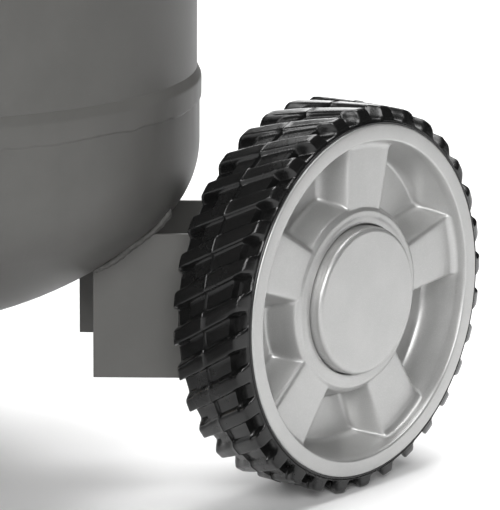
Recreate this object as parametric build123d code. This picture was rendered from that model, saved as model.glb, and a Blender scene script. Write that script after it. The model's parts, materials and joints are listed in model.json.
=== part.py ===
"""Portable vertical air compressor: tank on two wheels and a front foot, with a direct-drive pump on top.

Frame: +Z up, origin on the floor under the tank's axis. +X is the right-hand side of the machine seen
from its front, -Y is the front (controls, rubber feet), +Y is the back (wheels, handle). Millimetres.
"""
from build123d import *
from math import asin, atan2, cos, pi, radians, sin, sqrt
import os

# ---------------------------------------------------------------- driving dimensions
# tank
SHELL_R = 199.4          # outside radius of the shell
SHEET = 1.8              # wall of shell and heads
STRAIGHT = 640.0         # between the tangent lines of the two heads
TANK_BOTTOM_Z = 106.122  # lowest point of the lower head
CROWN_R = 265.0          # outside crown radius of a head
KNUCKLE_R = 66.0         # outside knuckle radius of a head
SKIRT = 46.0             # straight skirt of a head, from the tangent line
SHELL_LAP = 24.0         # how far the shell goes into a skirt
SEAM_BAND = 17.3         # height of the proud weld band at the end of a skirt
BAND_PROUD = 1.2         # how far the band stands out of the skirt

# wheels
WHEEL_REACH = 64.6       # outer plane of a rim, outside the shell
AXLE_INSET = 30.4        # axle, in front of the shell's back
TYRE_R = 126.8           # over the lugs, and so the axle's height
RIM_R = 115.4            # silver rim, outside
RIM_SEAT_R = 112.0       # seat of the tyre on the rim
WHEEL_WIDTH = 60.0
TREAD_GROOVE = 4.2       # lug height
LUGS = 32
LUG_WIDTH = 12.0
LUG_SKEW = 31.0          # degrees from the axle's direction
SPOKES = 5
SPOKE_FLARE = 5.8        # degrees by which each side of a spoke leans out from its middle line
SPOKE_PHASE = 7.0        # degrees clockwise from straight up, seen from outside
SPOKE_FACE = 9.2         # front of the spokes, from the rim's outer plane
SPOKE_HOLLOW = 13.0      # half width of the hollow behind a spoke
DISC_BACK = 34.0         # back of the spoke disc, from the rim's outer plane
POCKET_FRONT = (7.6, 59.0, 104.4)    # half width of a spoke carried in to the axle, inner and outer end
POCKET_FLOOR = (18.0, 67.0, 94.0)    # the same at the pocket's floor
POCKET_DEPTH = 30.0
CAP_R = 49.0
CAP_WALL = 3.0
CAP_DEPTH = 16.0
CAP_GAP = 0.3
HUB_R = 20.0
AXLE_R = 8.0
AXLE_THREAD_R = 6.0
WASHER = 1.5
SIDE_PLAY = 0.3
RUNNING = 0.05           # radial clearance of a running fit

# wheel brackets: a channel of plate with two parallel flanges, welded to the lower head
PLATE = 3.0
BRACKET_ANGLE = 40.0     # direction of the flanges, from +X
FLANGE_OFFSET = 52.2     # outer face of a flange from the radial plane between them
FLANGE_DEPTH = (65.4, 79.4)     # front and rear flanges' inner ends, inside the shell's radius
FLANGE_BOTTOM = (78.0, 82.0)    # lower edges of the front and rear flanges
BRACKET_TOP_Z = 173.0
WEB_INSET = 68.0         # outer face of the web that carries the axle, from the rim's outer plane

# front foot
FOOT_INSET = 57.4        # feet, behind the shell's front
FOOT_WIDTH = 236.0
FOOT_PITCH = 180.0
FOOT_R = 19.0
FOOT_HEIGHT = 14.0
FOOT_SHELF = 44.0
BOLT_R = 4.0             # hex bolts M8
BOLT_HEAD = 5.3
BOLT_CLEARANCE = 0.25

# pump platform and shroud
DECK_X, DECK_Y = 290.0, 276.0
DECK_CENTRE_Y = 15.0
DECK_RISE = 19.919       # deck over the tank's top
DECK_SKIRT = 78.0
SHROUD_X, SHROUD_Y = 308.0, 294.0
SHROUD_RISE = 202.0      # shroud's top over the deck
SHROUD_WALL = 3.0
SHROUD_CORNER_R = 42.0
SHROUD_EDGE_R = 26.0
PARTING = 0.3            # gap between the two shroud halves

# motor and pump, axis along X
AXIS_RISE = 82.0         # over the deck
MOUNT_HEIGHT = 12.0
STATOR_R = 58.0
STATOR_X = (-70.0, 0.0)
ROTOR_R = 32.0
AIR_GAP = 0.5
SHAFT_R = 7.0
BEARING_R = 16.0
BEARING_W = 9.0
CYLINDER_X = 60.0
BORE_R = 30.0
THROW = 10.0             # half the stroke
ROD_LENGTH = 62.0        # from the crank pin to the piston crown
ROD_WIDTH = 14.0
CRANK_PIN_R = 6.0
OPEN_PIVOT = 0.3         # gap between the crank pin's end and the rod
FAN_R = 50.0
FAN_BLADES = 7
DISCHARGE_Y = -112.0     # the discharge tube goes down in front of the pump

# controls
MANIFOLD_Y = -150.0
MANIFOLD_DROP = 19.0     # under the deck's top
MANIFOLD_X = (-115.0, 98.0)
MANIFOLD_W, MANIFOLD_H = 28.0, 28.0
GAUGE_R = 25.0
GAUGE_DEPTH = 24.0
TANK_GAUGE_XY = (-75.0, -176.0)     # back centre of the case
OUTLET_GAUGE_XY = (128.0, -186.0)
REGULATOR_X, REGULATOR_Y = 72.0, -194.0
REGULATOR_R = 20.0
COUPLER_END_Y = -290.0
COUPLER_BORE_R = 6.0
SAFETY_X = -102.0
PIPE_R = 8.0
BOSS_PROUD = 9.0         # welded boss over the head, at its centre

# handle
HANDLE_X = 132.0
HANDLE_TUBE_R = 12.5
HANDLE_TUBE_WALL = 2.0
HANDLE_DROP = 210.1      # lower ends, under the upper tangent line
HANDLE_RISE = 16.0       # grip, over the deck
HANDLE_RAKE = 83.5       # grip, behind the uprights
HANDLE_STANDOFF = 30.5   # uprights, behind the shell
HANDLE_GAP = 5.5         # between the shroud and an upright

# ---------------------------------------------------------------- derived places
SKIRT_R = SHELL_R + SHEET
KNUCKLE_CENTRE_R = SKIRT_R - KNUCKLE_R
CROWN_RISE = sqrt((CROWN_R - KNUCKLE_R) ** 2 - KNUCKLE_CENTRE_R ** 2)
HEAD_DEPTH = CROWN_R - CROWN_RISE
LOWER_TANGENT_Z = TANK_BOTTOM_Z + HEAD_DEPTH
UPPER_TANGENT_Z = LOWER_TANGENT_Z + STRAIGHT
TANK_TOP_Z = UPPER_TANGENT_Z + HEAD_DEPTH
WHEEL_X = SHELL_R + WHEEL_REACH
WHEEL_Y = SHELL_R - AXLE_INSET
WEB_X = WHEEL_X - WEB_INSET
FLANGE_START = tuple(SHELL_R - depth for depth in FLANGE_DEPTH)
FOOT_Y = FOOT_INSET - SHELL_R
DECK_TOP_Z = TANK_TOP_Z + DECK_RISE
SHROUD_TOP_Z = DECK_TOP_Z + SHROUD_RISE
AXIS_Z = DECK_TOP_Z + AXIS_RISE
MANIFOLD_Z = DECK_TOP_Z - MANIFOLD_DROP
TANK_GAUGE = (*TANK_GAUGE_XY, MANIFOLD_Z)
OUTLET_GAUGE = (*OUTLET_GAUGE_XY, MANIFOLD_Z)
HANDLE_LOW_Z = UPPER_TANGENT_Z - HANDLE_DROP
HANDLE_TOP_Z = DECK_TOP_Z + HANDLE_RISE
AXLE_Z = TYRE_R
HUB_BORE_R = AXLE_R + RUNNING
HUB_BACK = -(WHEEL_X - WEB_X - WASHER - SIDE_PLAY)   # inner end of the hub, from the rim's outer plane
DECK_BOTTOM_Z = DECK_TOP_Z - 4.0
MOTOR_FOOT_Z = DECK_TOP_Z + MOUNT_HEIGHT
PISTON_TOP_Z = AXIS_Z + THROW + ROD_LENGTH
VALVE_PLATE_Z = PISTON_TOP_Z + 1.5


# ---------------------------------------------------------------- helpers
def cyl(radius, start, end):
    """Solid cylinder from one point to another."""
    a, b = Vector(*start), Vector(*end)
    return extrude(Plane(origin=a, z_dir=b - a) * Circle(radius), (b - a).length)


def tube(outer, inner, start, end):
    """Straight tube from one point to another."""
    return cyl(outer, start, end) - cyl(inner, start, end)


def hexagon(radius, start, end):
    """Hexagonal prism, radius over corners, from one point to another."""
    a, b = Vector(*start), Vector(*end)
    return extrude(Plane(origin=a, z_dir=b - a) * RegularPolygon(radius, 6), (b - a).length)


def block(x0, x1, y0, y1, z0, z1):
    """Box between two corners."""
    return Pos((x0 + x1) / 2, (y0 + y1) / 2, (z0 + z1) / 2) * Box(x1 - x0, y1 - y0, z1 - z0)


def turned(points, axis=Axis.Z):
    """Solid of revolution of a closed outline of (radius, height) points."""
    return revolve(make_face(Plane.XZ * Polyline(*points, close=True)), axis)


def turned_edges(edges):
    """Solid of revolution about Z of closed edges drawn as (radius, height)."""
    return revolve(make_face(Plane.XZ * (Curve() + edges)), Axis.Z)


def turned_x(points):
    """Solid of revolution about the X axis of a closed outline of (x, radius) points."""
    return revolve(make_face(Plane.XZ * Polyline(*points, close=True)), Axis.X)


def both_sides(shape):
    """The right-hand shape and its mirror image for the left-hand side."""
    return shape, mirror(shape, about=Plane.YZ)


def group(shapes):
    """Separate solids kept in one node."""
    return Compound(children=[s for shape in shapes for s in shape.solids()])


# ---------------------------------------------------------------- tank
def head_arcs(inset):
    """Crown and knuckle arcs of the lower head's half section, moved inwards by the inset."""
    centre_z = LOWER_TANGENT_Z + CROWN_RISE
    lean = atan2(KNUCKLE_CENTRE_R, CROWN_RISE)
    crown, knuckle = CROWN_R - inset, KNUCKLE_R - inset

    def on_crown(angle):
        return (crown * sin(angle), centre_z - crown * cos(angle))

    def on_knuckle(angle):
        return (KNUCKLE_CENTRE_R + knuckle * sin(angle), LOWER_TANGENT_Z - knuckle * cos(angle))

    return [ThreePointArc(on_crown(0), on_crown(lean / 2), on_crown(lean)),
            ThreePointArc(on_knuckle(lean), on_knuckle((lean + pi / 2) / 2), on_knuckle(pi / 2))]


def lower_head():
    """Dished head with a straight skirt that the shell fits into."""
    top = LOWER_TANGENT_Z + SKIRT
    outer, inner = head_arcs(0), head_arcs(SHEET)
    edges = [*outer, Line((SKIRT_R, LOWER_TANGENT_Z), (SKIRT_R, top)), Line((SKIRT_R, top), (SHELL_R, top)),
             Line((SHELL_R, top), (SHELL_R, LOWER_TANGENT_Z)), *inner,
             Line((0, TANK_BOTTOM_Z + SHEET), (0, TANK_BOTTOM_Z))]
    return turned_edges(edges)


def lower_envelope():
    """Solid that fills the lower head and its skirt, to trim what is welded to it."""
    top = LOWER_TANGENT_Z + SKIRT
    edges = [*head_arcs(0), Line((SKIRT_R, LOWER_TANGENT_Z), (SKIRT_R, top)),
             Line((SKIRT_R, top), (0, top)),
             Line((0, top), (0, TANK_BOTTOM_Z))]
    return turned_edges(edges)


def to_upper(shape):
    """Mirror image of a lower-end shape at the tank's upper end."""
    return mirror(shape, about=Plane.XY.offset((LOWER_TANGENT_Z + UPPER_TANGENT_Z) / 2))


def seam_weld():
    """Proud band round the end of the lower skirt, with its fillet down to the shell."""
    top = LOWER_TANGENT_Z + SKIRT
    low = top - SEAM_BAND
    proud = SKIRT_R + BAND_PROUD
    return turned([(SKIRT_R, low), (proud, low + 0.8), (proud, top - 1.5), (SHELL_R, top + 3.0),
                   (SHELL_R, top), (SKIRT_R, top)])


def tank_nodes():
    skirt_top = LOWER_TANGENT_Z + SKIRT
    shell_low = skirt_top - SHELL_LAP
    shell_high = LOWER_TANGENT_Z + UPPER_TANGENT_Z - shell_low
    drain_hole = cyl(PIPE_R, (0, 0, TANK_BOTTOM_Z - 5), (0, 0, TANK_BOTTOM_Z + 10))
    head = lower_head()
    upper = to_upper(head)
    for x, y in ((0, MANIFOLD_Y), (CYLINDER_X, DISCHARGE_Y)):
        z = dome_z(sqrt(x * x + y * y))
        upper += cyl(2 * PIPE_R, (x, y, z - 3), (x, y, z + BOSS_PROUD))
        upper -= cyl(PIPE_R, (x, y, z - 30), (x, y, z + BOSS_PROUD + 1))
    return {
        "tank_shell": tube(SHELL_R, SHELL_R - SHEET, (0, 0, shell_low), (0, 0, shell_high)),
        "tank_lower_head": head - drain_hole,
        "tank_upper_head": upper,
        "tank_seam_welds": group([seam_weld(), to_upper(seam_weld())]),
    }


def dome_z(radius):
    """Height of the upper head's outside at a distance from the tank's axis, on the crown."""
    return UPPER_TANGENT_Z - CROWN_RISE + sqrt(CROWN_R ** 2 - radius ** 2)


# ---------------------------------------------------------------- wheel brackets
def bracket_point(along, across):
    """Plan position from distances along and across the right bracket's radial plane."""
    a = radians(BRACKET_ANGLE)
    return (along * cos(a) - across * sin(a), along * sin(a) + across * cos(a))


def along_at(x, across):
    """Distance along the radial plane at which a line at this offset reaches a given X."""
    a = radians(BRACKET_ANGLE)
    return (x + across * sin(a)) / cos(a)


def flange(across, thickness, start, bottom):
    """Vertical plate along the radial direction, from its inner end to the web's outer face."""
    corners = [bracket_point(start, across), bracket_point(along_at(WEB_X, across), across),
               bracket_point(along_at(WEB_X, across + thickness), across + thickness),
               bracket_point(start, across + thickness)]
    plate = make_face(Plane.XY.offset(bottom) * Polyline(*corners, close=True))
    return extrude(plate, BRACKET_TOP_Z - bottom)


def right_bracket():
    """Channel of plate: two flanges trimmed to the head, and the web that holds the axle."""
    front = flange(-FLANGE_OFFSET, PLATE, FLANGE_START[0], FLANGE_BOTTOM[0])
    rear = flange(FLANGE_OFFSET - PLATE, PLATE, FLANGE_START[1], FLANGE_BOTTOM[1])
    y0 = bracket_point(along_at(WEB_X, -FLANGE_OFFSET), -FLANGE_OFFSET)[1]
    y1 = bracket_point(along_at(WEB_X, FLANGE_OFFSET), FLANGE_OFFSET)[1]
    web = block(WEB_X - PLATE, WEB_X, y0, y1, FLANGE_BOTTOM[0], BRACKET_TOP_Z)
    inner, outer = (WEB_X - 2 * PLATE, WHEEL_Y, AXLE_Z), (WEB_X + 1, WHEEL_Y, AXLE_Z)
    hole = cyl(AXLE_THREAD_R + BOLT_CLEARANCE, inner, outer)
    return front + rear + web - lower_envelope() - hole


# ---------------------------------------------------------------- wheels
def wheel_place(shape):
    """Moves a shape made about the X axis, with the rim's outer plane at X = 0, to the right wheel."""
    return Pos(WHEEL_X, WHEEL_Y, AXLE_Z) * shape


def pocket_section(x, half, inner, outer):
    """Outline of the hollow between two spokes: sides that lean out with them, arcs at its inner and outer ends."""
    def corner(radius, side):
        angle = side * (pi / SPOKES - radians(SPOKE_FLARE) - asin(half * cos(radians(SPOKE_FLARE)) / radius))
        return (radius * sin(angle), radius * cos(angle))

    a, b, c, d = corner(inner, -1), corner(inner, 1), corner(outer, 1), corner(outer, -1)
    outline = [ThreePointArc(a, (0, inner), b), Line(b, c), ThreePointArc(c, (0, outer), d), Line(d, a)]
    return Plane(origin=(x, 0, 0), x_dir=(0, 1, 0), z_dir=(1, 0, 0)) * make_face(Curve() + outline)


def pocket():
    """Drafted hollow between two spokes, from just in front of the rim's outer plane to the pocket's floor."""
    return loft([pocket_section(-POCKET_DEPTH, *POCKET_FLOOR), pocket_section(1, *POCKET_FRONT)], ruled=True)


def right_rim():
    """Moulded rim: barrel with two lips, dished face, spokes, pockets, hollow backs and a hub tube."""
    width, lip = WHEEL_WIDTH, 4.0
    barrel_r = RIM_SEAT_R - 6
    seat_r = CAP_R + CAP_GAP
    rim = turned_x([
        (HUB_BACK, HUB_BORE_R), (-CAP_DEPTH, HUB_BORE_R), (-CAP_DEPTH, seat_r),
        (-SPOKE_FACE + 1.2, seat_r), (-SPOKE_FACE + 1.2, 58), (-SPOKE_FACE, 60), (-SPOKE_FACE, 99.5),
        (-4, 103.7), (0, 104.5), (0, RIM_R - 1), (-1, RIM_R), (-lip, RIM_R), (-lip, RIM_SEAT_R),
        (-width + lip, RIM_SEAT_R), (-width + lip, RIM_R), (-width, RIM_R), (-width, barrel_r),
        (-DISC_BACK, barrel_r), (-DISC_BACK, HUB_R), (HUB_BACK, HUB_R)])
    hollow = block(-DISC_BACK - 1, -14, -SPOKE_HOLLOW, SPOKE_HOLLOW, 62, 98)
    for k in range(SPOKES):
        turn = SPOKE_PHASE + 360 / SPOKES * k
        rim -= Rot(-turn - 180 / SPOKES, 0, 0) * pocket()
        rim -= Rot(-turn, 0, 0) * hollow
    return wheel_place(rim)


def right_tyre():
    """Solid moulded tyre: carcass between the rim's lips, with a band of slanted lugs."""
    width, lip = WHEEL_WIDTH, 4.0
    base = TYRE_R - TREAD_GROOVE
    shoulder = base - 2.3
    carcass = turned_x([
        (-width + lip, RIM_SEAT_R), (-lip, RIM_SEAT_R), (-lip, RIM_R), (-1.5, RIM_R), (-1.5, shoulder),
        (-5, base), (-width + 5, base), (-width, shoulder), (-width, RIM_R), (-width + lip, RIM_R)])
    zone = turned_x([(-width, base - 2), (-5, base - 2), (-5, TYRE_R - 1), (-6, TYRE_R),
                     (-width + 1, TYRE_R),
                     (-width, TYRE_R - 1)])
    middle = -(width + 5) / 2
    bar = Pos(middle, 0, TYRE_R) * Rot(0, 0, LUG_SKEW) * Box(width + 10, LUG_WIDTH, 4 * TREAD_GROOVE)
    lug = bar & zone
    lugs = [Rot(360 / LUGS * k, 0, 0) * lug for k in range(LUGS)]
    return wheel_place(carcass + lugs)


def right_cap():
    """Centre cap: flat face with a rounded edge and a skirt that sits in the rim's recess."""
    inner = CAP_R - CAP_WALL
    return wheel_place(turned_x([
        (-CAP_WALL, 0), (0, 0), (0, CAP_R - 4), (-1.2, CAP_R - 1.2), (-4, CAP_R), (-CAP_DEPTH, CAP_R),
        (-CAP_DEPTH, inner), (-CAP_WALL, inner)]))


def axle_bolt():
    """Shoulder bolt: head under the cap, shoulder through the hub, thread through the web."""
    head = WHEEL_X - CAP_DEPTH + SIDE_PLAY + WASHER
    at = (WHEEL_Y, AXLE_Z)
    thread_end = WEB_X - PLATE - WASHER - 14
    return (hexagon(1.4 * AXLE_R, (head, *at), (head + 7, *at)) + cyl(AXLE_R, (WEB_X, *at), (head, *at))
            + cyl(AXLE_THREAD_R, (thread_end, *at), (WEB_X, *at)))


def axle_washers():
    """Washers at both ends of the hub and under the nut."""
    at = (WHEEL_Y, AXLE_Z)
    outer = WHEEL_X - CAP_DEPTH + SIDE_PLAY
    shoulder = [tube(15, AXLE_R + BOLT_CLEARANCE, (x, *at), (x + WASHER, *at)) for x in (WEB_X, outer)]
    x = WEB_X - PLATE
    return shoulder + [tube(13, AXLE_THREAD_R, (x - WASHER, *at), (x, *at))]


def axle_nut():
    """Lock nut behind the web."""
    at = (WHEEL_Y, AXLE_Z)
    x = WEB_X - PLATE - WASHER
    return hexagon(11, (x - 10, *at), (x, *at)) - cyl(AXLE_THREAD_R, (x - 11, *at), (x + 1, *at))


def wheel_nodes():
    pairs = {"wheel_bracket": right_bracket(), "wheel_rim": right_rim(), "tyre": right_tyre(),
             "wheel_cap": right_cap()}
    nodes = {}
    for name, shape in pairs.items():
        nodes["right_" + name], nodes["left_" + name] = both_sides(shape)
    nodes["axle_bolts"] = group(both_sides(axle_bolt()))
    nodes["axle_washers"] = group([s for w in axle_washers() for s in both_sides(w)])
    nodes["axle_nuts"] = group(both_sides(axle_nut()))
    return nodes


# ---------------------------------------------------------------- front foot and drain
def bolt(head, end):
    """Hex bolt: the underside of its head at one point, its end at another."""
    a, b = Vector(*head), Vector(*end)
    top = a + (a - b).normalized() * BOLT_HEAD
    return hexagon(1.75 * BOLT_R, tuple(a), tuple(top)) + cyl(BOLT_R, tuple(b), tuple(a))


def foot_bolts():
    shelf = FOOT_HEIGHT + PLATE
    places = [side * FOOT_PITCH / 2 for side in (1, -1)]
    return [bolt((x, FOOT_Y, shelf), (x, FOOT_Y, 4)) for x in places]


def front_foot():
    """Bent plate: upright trimmed to the head, shelf over the rubber feet, and two gussets."""
    half, back, front = FOOT_WIDTH / 2, FOOT_Y + FOOT_SHELF / 2, FOOT_Y - FOOT_SHELF / 2
    shelf = block(-half, half, front, back, FOOT_HEIGHT, FOOT_HEIGHT + PLATE)
    upright = block(-half, half, back - PLATE, back, FOOT_HEIGHT, LOWER_TANGENT_Z) - lower_envelope()
    side = Plane.YZ * Polyline((front, FOOT_HEIGHT), (back, FOOT_HEIGHT), (back, 120), (back - 8, 120),
                               close=True)
    gusset = extrude(make_face(side), PLATE)
    foot = shelf + upright + Pos(half - PLATE, 0, 0) * gusset + Pos(-half, 0, 0) * gusset
    for screw in foot_bolts():
        foot -= screw
    return foot


def foot_nodes():
    feet = []
    for side in (1, -1):
        at = (side * FOOT_PITCH / 2, FOOT_Y)
        foot = turned([(0, 0), (FOOT_R - 2, 0), (FOOT_R, 2), (FOOT_R - 3, FOOT_HEIGHT), (0, FOOT_HEIGHT)])
        feet.append(Pos(*at, 0) * foot - cyl(BOLT_R, (*at, 4), (*at, FOOT_HEIGHT + 1)))
    return {"front_foot_bracket": front_foot(), "rubber_feet": group(feet)}


def drain_nodes():
    """Ball valve hanging under the lower head, and its lever."""
    z = TANK_BOTTOM_Z
    stem_z = z - 30
    body = cyl(PIPE_R, (0, 0, z - 8), (0, 0, z + 8)) + hexagon(13, (0, 0, z - 18), (0, 0, z - 6))
    body += cyl(12, (0, 0, z - 42), (0, 0, z - 18)) + cyl(6, (0, 0, z - 54), (0, 0, z - 42))
    body += cyl(5, (0, 0, stem_z), (0, -17, stem_z))
    body -= cyl(3.5, (0, 0, z - 55), (0, 0, z - 46))
    lever = block(-8, 44, -20, -17.3, stem_z - 6, stem_z + 6)
    return {"drain_valve_body": body, "drain_valve_lever": fillet(lever.edges().filter_by(Axis.Y), 4)}


# ---------------------------------------------------------------- platform, shroud, handle
def slab(width, depth, corner, z0, z1):
    """Rounded rectangular slab centred over the pump platform."""
    outline = Plane.XY.offset(z0) * Pos(0, DECK_CENTRE_Y) * RectangleRounded(width, depth, corner)
    return extrude(outline, z1 - z0)


def motor_bolt_places():
    return [(x, DECK_CENTRE_Y + side * 40) for x in (-84, 74) for side in (1, -1)]


def motor_bolts():
    top = MOTOR_FOOT_Z + 5
    return [bolt((x, y, top), (x, y, DECK_BOTTOM_Z)) for x, y in motor_bolt_places()]


def shroud_screws():
    """Screws through the shroud's lower edge into the platform's skirt."""
    screws = []
    outside = SHROUD_X / 2
    for side in (1, -1):
        for y in (DECK_CENTRE_Y - 80, DECK_CENTRE_Y + 80):
            z = DECK_TOP_Z - 10
            head = cyl(4.5, (side * outside, y, z), (side * (outside + 2.4), y, z))
            shank = cyl(2.2, (side * (DECK_X / 2 - 6), y, z), (side * outside, y, z))
            screws.append(head + shank)
    return screws


def platform():
    """Tray that carries the pump, its skirt trimmed to the upper head and welded to it."""
    corner = SHROUD_CORNER_R - 6
    tray = slab(DECK_X, DECK_Y, corner, DECK_TOP_Z - DECK_SKIRT, DECK_TOP_Z)
    tray -= slab(DECK_X - 2 * PLATE, DECK_Y - 2 * PLATE, corner - PLATE, 0, DECK_BOTTOM_Z)
    tray -= to_upper(lower_envelope())
    tray -= cyl(20, (CYLINDER_X, DISCHARGE_Y, DECK_BOTTOM_Z - 10), (CYLINDER_X, DISCHARGE_Y, DECK_TOP_Z + 1))
    tray -= block(CYLINDER_X - 20, CYLINDER_X + 20, DISCHARGE_Y - 20, DISCHARGE_Y, TANK_TOP_Z - DECK_SKIRT,
                  DECK_TOP_Z + 1)
    for screw in motor_bolts() + shroud_screws():
        tray -= screw
    return tray


def shroud():
    """Moulded cover over the pump with cooling slots in its ends."""
    low = DECK_TOP_Z - 18
    outer = slab(SHROUD_X, SHROUD_Y, SHROUD_CORNER_R, low, SHROUD_TOP_Z)
    outer = fillet(outer.faces().sort_by(Axis.Z)[-1].edges(), SHROUD_EDGE_R)
    wall = SHROUD_WALL
    inner = slab(SHROUD_X - 2 * wall, SHROUD_Y - 2 * wall, SHROUD_CORNER_R - wall, low, SHROUD_TOP_Z - wall)
    inner = fillet(inner.faces().sort_by(Axis.Z)[-1].edges(), SHROUD_EDGE_R - wall)
    cover = outer - inner
    half = SHROUD_X / 2
    for side in (1, -1):
        for k in range(8):
            z = AXIS_Z - 48 + 13 * k
            x0, x1 = sorted((side * (half - 8), side * (half + 2)))
            for y0, y1 in ((DECK_CENTRE_Y - 82, DECK_CENTRE_Y - 8), (DECK_CENTRE_Y + 8, DECK_CENTRE_Y + 82)):
                cover -= block(x0, x1, y0, y1, z, z + 5)
    for screw in shroud_screws():
        cover -= screw
    return cover


def shroud_nodes():
    cover = shroud()
    cut = DECK_CENTRE_Y
    low, high = TANK_TOP_Z - DECK_SKIRT, SHROUD_TOP_Z + 1
    front = block(-SHROUD_X, SHROUD_X, cut - SHROUD_Y, cut - PARTING / 2, low, high)
    rear = block(-SHROUD_X, SHROUD_X, cut + PARTING / 2, cut + SHROUD_Y, low, high)
    return {"shroud_front": cover & front, "shroud_rear": cover & rear,
            "shroud_screws": group(shroud_screws())}


def handle_upright_y():
    """Uprights stand clear of the shell and of the shroud."""
    behind_shell = sqrt(SHELL_R ** 2 - HANDLE_X ** 2) + HANDLE_STANDOFF
    behind_shroud = DECK_CENTRE_Y + SHROUD_Y / 2 + HANDLE_TUBE_R + HANDLE_GAP
    return max(behind_shell, behind_shroud)


def handle_bolts():
    y = handle_upright_y()
    shell_y = sqrt(SHELL_R ** 2 - HANDLE_X ** 2)
    return [bolt((side * HANDLE_X, y + HANDLE_TUBE_R, z), (side * HANDLE_X, shell_y + 6, z))
            for side in (1, -1) for z in (HANDLE_LOW_Z + 30, HANDLE_LOW_Z + 130)]


def handle_path():
    y = handle_upright_y()
    back = y + HANDLE_RAKE
    knee = HANDLE_TOP_Z - 80
    right = [(HANDLE_X, y, HANDLE_LOW_Z), (HANDLE_X, y, knee), (HANDLE_X, back, HANDLE_TOP_Z)]
    left = [(-x, y, z) for x, y, z in reversed(right)]
    return FilletPolyline(*right, *left, radius=42)


def handle_nodes():
    path = handle_path()
    y = handle_upright_y()
    back = y + HANDLE_RAKE
    start = Plane(origin=(HANDLE_X, y, HANDLE_LOW_Z), z_dir=(0, 0, 1))
    ring = start * (Circle(HANDLE_TUBE_R) - Circle(HANDLE_TUBE_R - HANDLE_TUBE_WALL))
    bar = sweep(ring, path=path)
    brackets = []
    shell = cyl(SHELL_R, (0, 0, LOWER_TANGENT_Z), (0, 0, UPPER_TANGENT_Z))
    for side in (1, -1):
        x = side * HANDLE_X
        upright = cyl(HANDLE_TUBE_R, (x, y, HANDLE_LOW_Z), (x, y, UPPER_TANGENT_Z))
        for z in (HANDLE_LOW_Z + 30, HANDLE_LOW_Z + 130):
            pad = block(x - 14, x + 14, 120, y, z - 16, z + 16) - shell - upright
            brackets.append(pad)
    for screw in handle_bolts():
        bar -= screw
        brackets = [pad - screw for pad in brackets]
    grip = tube(HANDLE_TUBE_R + 4, HANDLE_TUBE_R, (-78, back, HANDLE_TOP_Z), (78, back, HANDLE_TOP_Z))
    return {"handle_tube": bar, "handle_brackets": group(brackets), "handle_grip": grip}


# ---------------------------------------------------------------- motor and pump
def pump_place(shape):
    """Moves a shape made about the X axis to the motor's axis."""
    return Pos(0, DECK_CENTRE_Y, AXIS_Z) * shape


def motor_nodes():
    """Stator, windings, rotor, the two end brackets and their bearings."""
    x0, x1 = STATOR_X
    wall = 4.0
    foot = MOTOR_FOOT_Z - AXIS_Z
    stator = tube(STATOR_R, ROTOR_R + AIR_GAP, (x0, 0, 0), (x1, 0, 0))
    windings = [tube(52, 37, (x0 - 15, 0, 0), (x0, 0, 0)), tube(52, 37, (x1, 0, 0), (x1 + 12, 0, 0))]
    shaft = cyl(SHAFT_R, (x0 - 52, 0, 0), (30, 0, 0))
    rotor = cyl(ROTOR_R, (x0 + 1, 0, 0), (x1 - 1, 0, 0)) + shaft
    rear = tube(STATOR_R, STATOR_R - wall, (x0 - 28, 0, 0), (x0, 0, 0))
    rear += tube(STATOR_R, BEARING_R, (x0 - 28, 0, 0), (x0 - 24, 0, 0))
    rear += tube(BEARING_R + wall, BEARING_R, (x0 - 28, 0, 0), (x0 - 24 + BEARING_W, 0, 0))
    rear += block(x0 - 26, x0 - 2, -52, 52, foot, foot + 5) + block(x0 - 26, x0 - 22, -30, 30, foot, -50)
    front = tube(STATOR_R, STATOR_R - wall, (x1, 0, 0), (22, 0, 0))
    front += tube(STATOR_R, BEARING_R, (18, 0, 0), (24, 0, 0))
    case = block(24, 92, -42, 42, -52, 36) - block(27, 93, -38, 38, -48, 32)
    front += case - cyl(BEARING_R, (20, 0, 0), (30, 0, 0))
    front -= cyl(BORE_R + 1, (CYLINDER_X, 0, 30), (CYLINDER_X, 0, 40))
    front += block(62, 86, -52, 52, foot, foot + 5) + block(70, 74, -30, 30, foot, -52)
    bearings = [tube(BEARING_R, SHAFT_R + RUNNING, (x, 0, 0), (x + BEARING_W, 0, 0)) for x in (x0 - 24, 15)]
    front -= cyl(BEARING_R, (15, 0, 0), (24, 0, 0))
    rear, front = pump_place(rear), pump_place(front)
    for screw in motor_bolts():
        rear -= screw
        front -= screw
    mounts = [tube(11, BOLT_R, (x, y, DECK_TOP_Z), (x, y, MOTOR_FOOT_Z)) for x, y in motor_bolt_places()]
    return {"motor_stator": pump_place(stator), "motor_windings": pump_place(group(windings)),
            "motor_rotor": pump_place(rotor), "motor_rear_bracket": rear, "pump_crankcase": front,
            "motor_bearings": pump_place(group(bearings)), "vibration_mounts": group(mounts)}


def fan():
    """Axial fan on the rear end of the shaft."""
    x = STATOR_X[0] - 48
    wheel = tube(14, SHAFT_R, (x, 0, 0), (x + 14, 0, 0))
    blade = Pos(x + 7, 0, 12 + (FAN_R - 12) / 2) * Rot(0, 0, 32) * Box(18, 2, FAN_R - 12)
    return wheel + [Rot(360 / FAN_BLADES * k, 0, 0) * blade for k in range(FAN_BLADES)]


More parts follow.
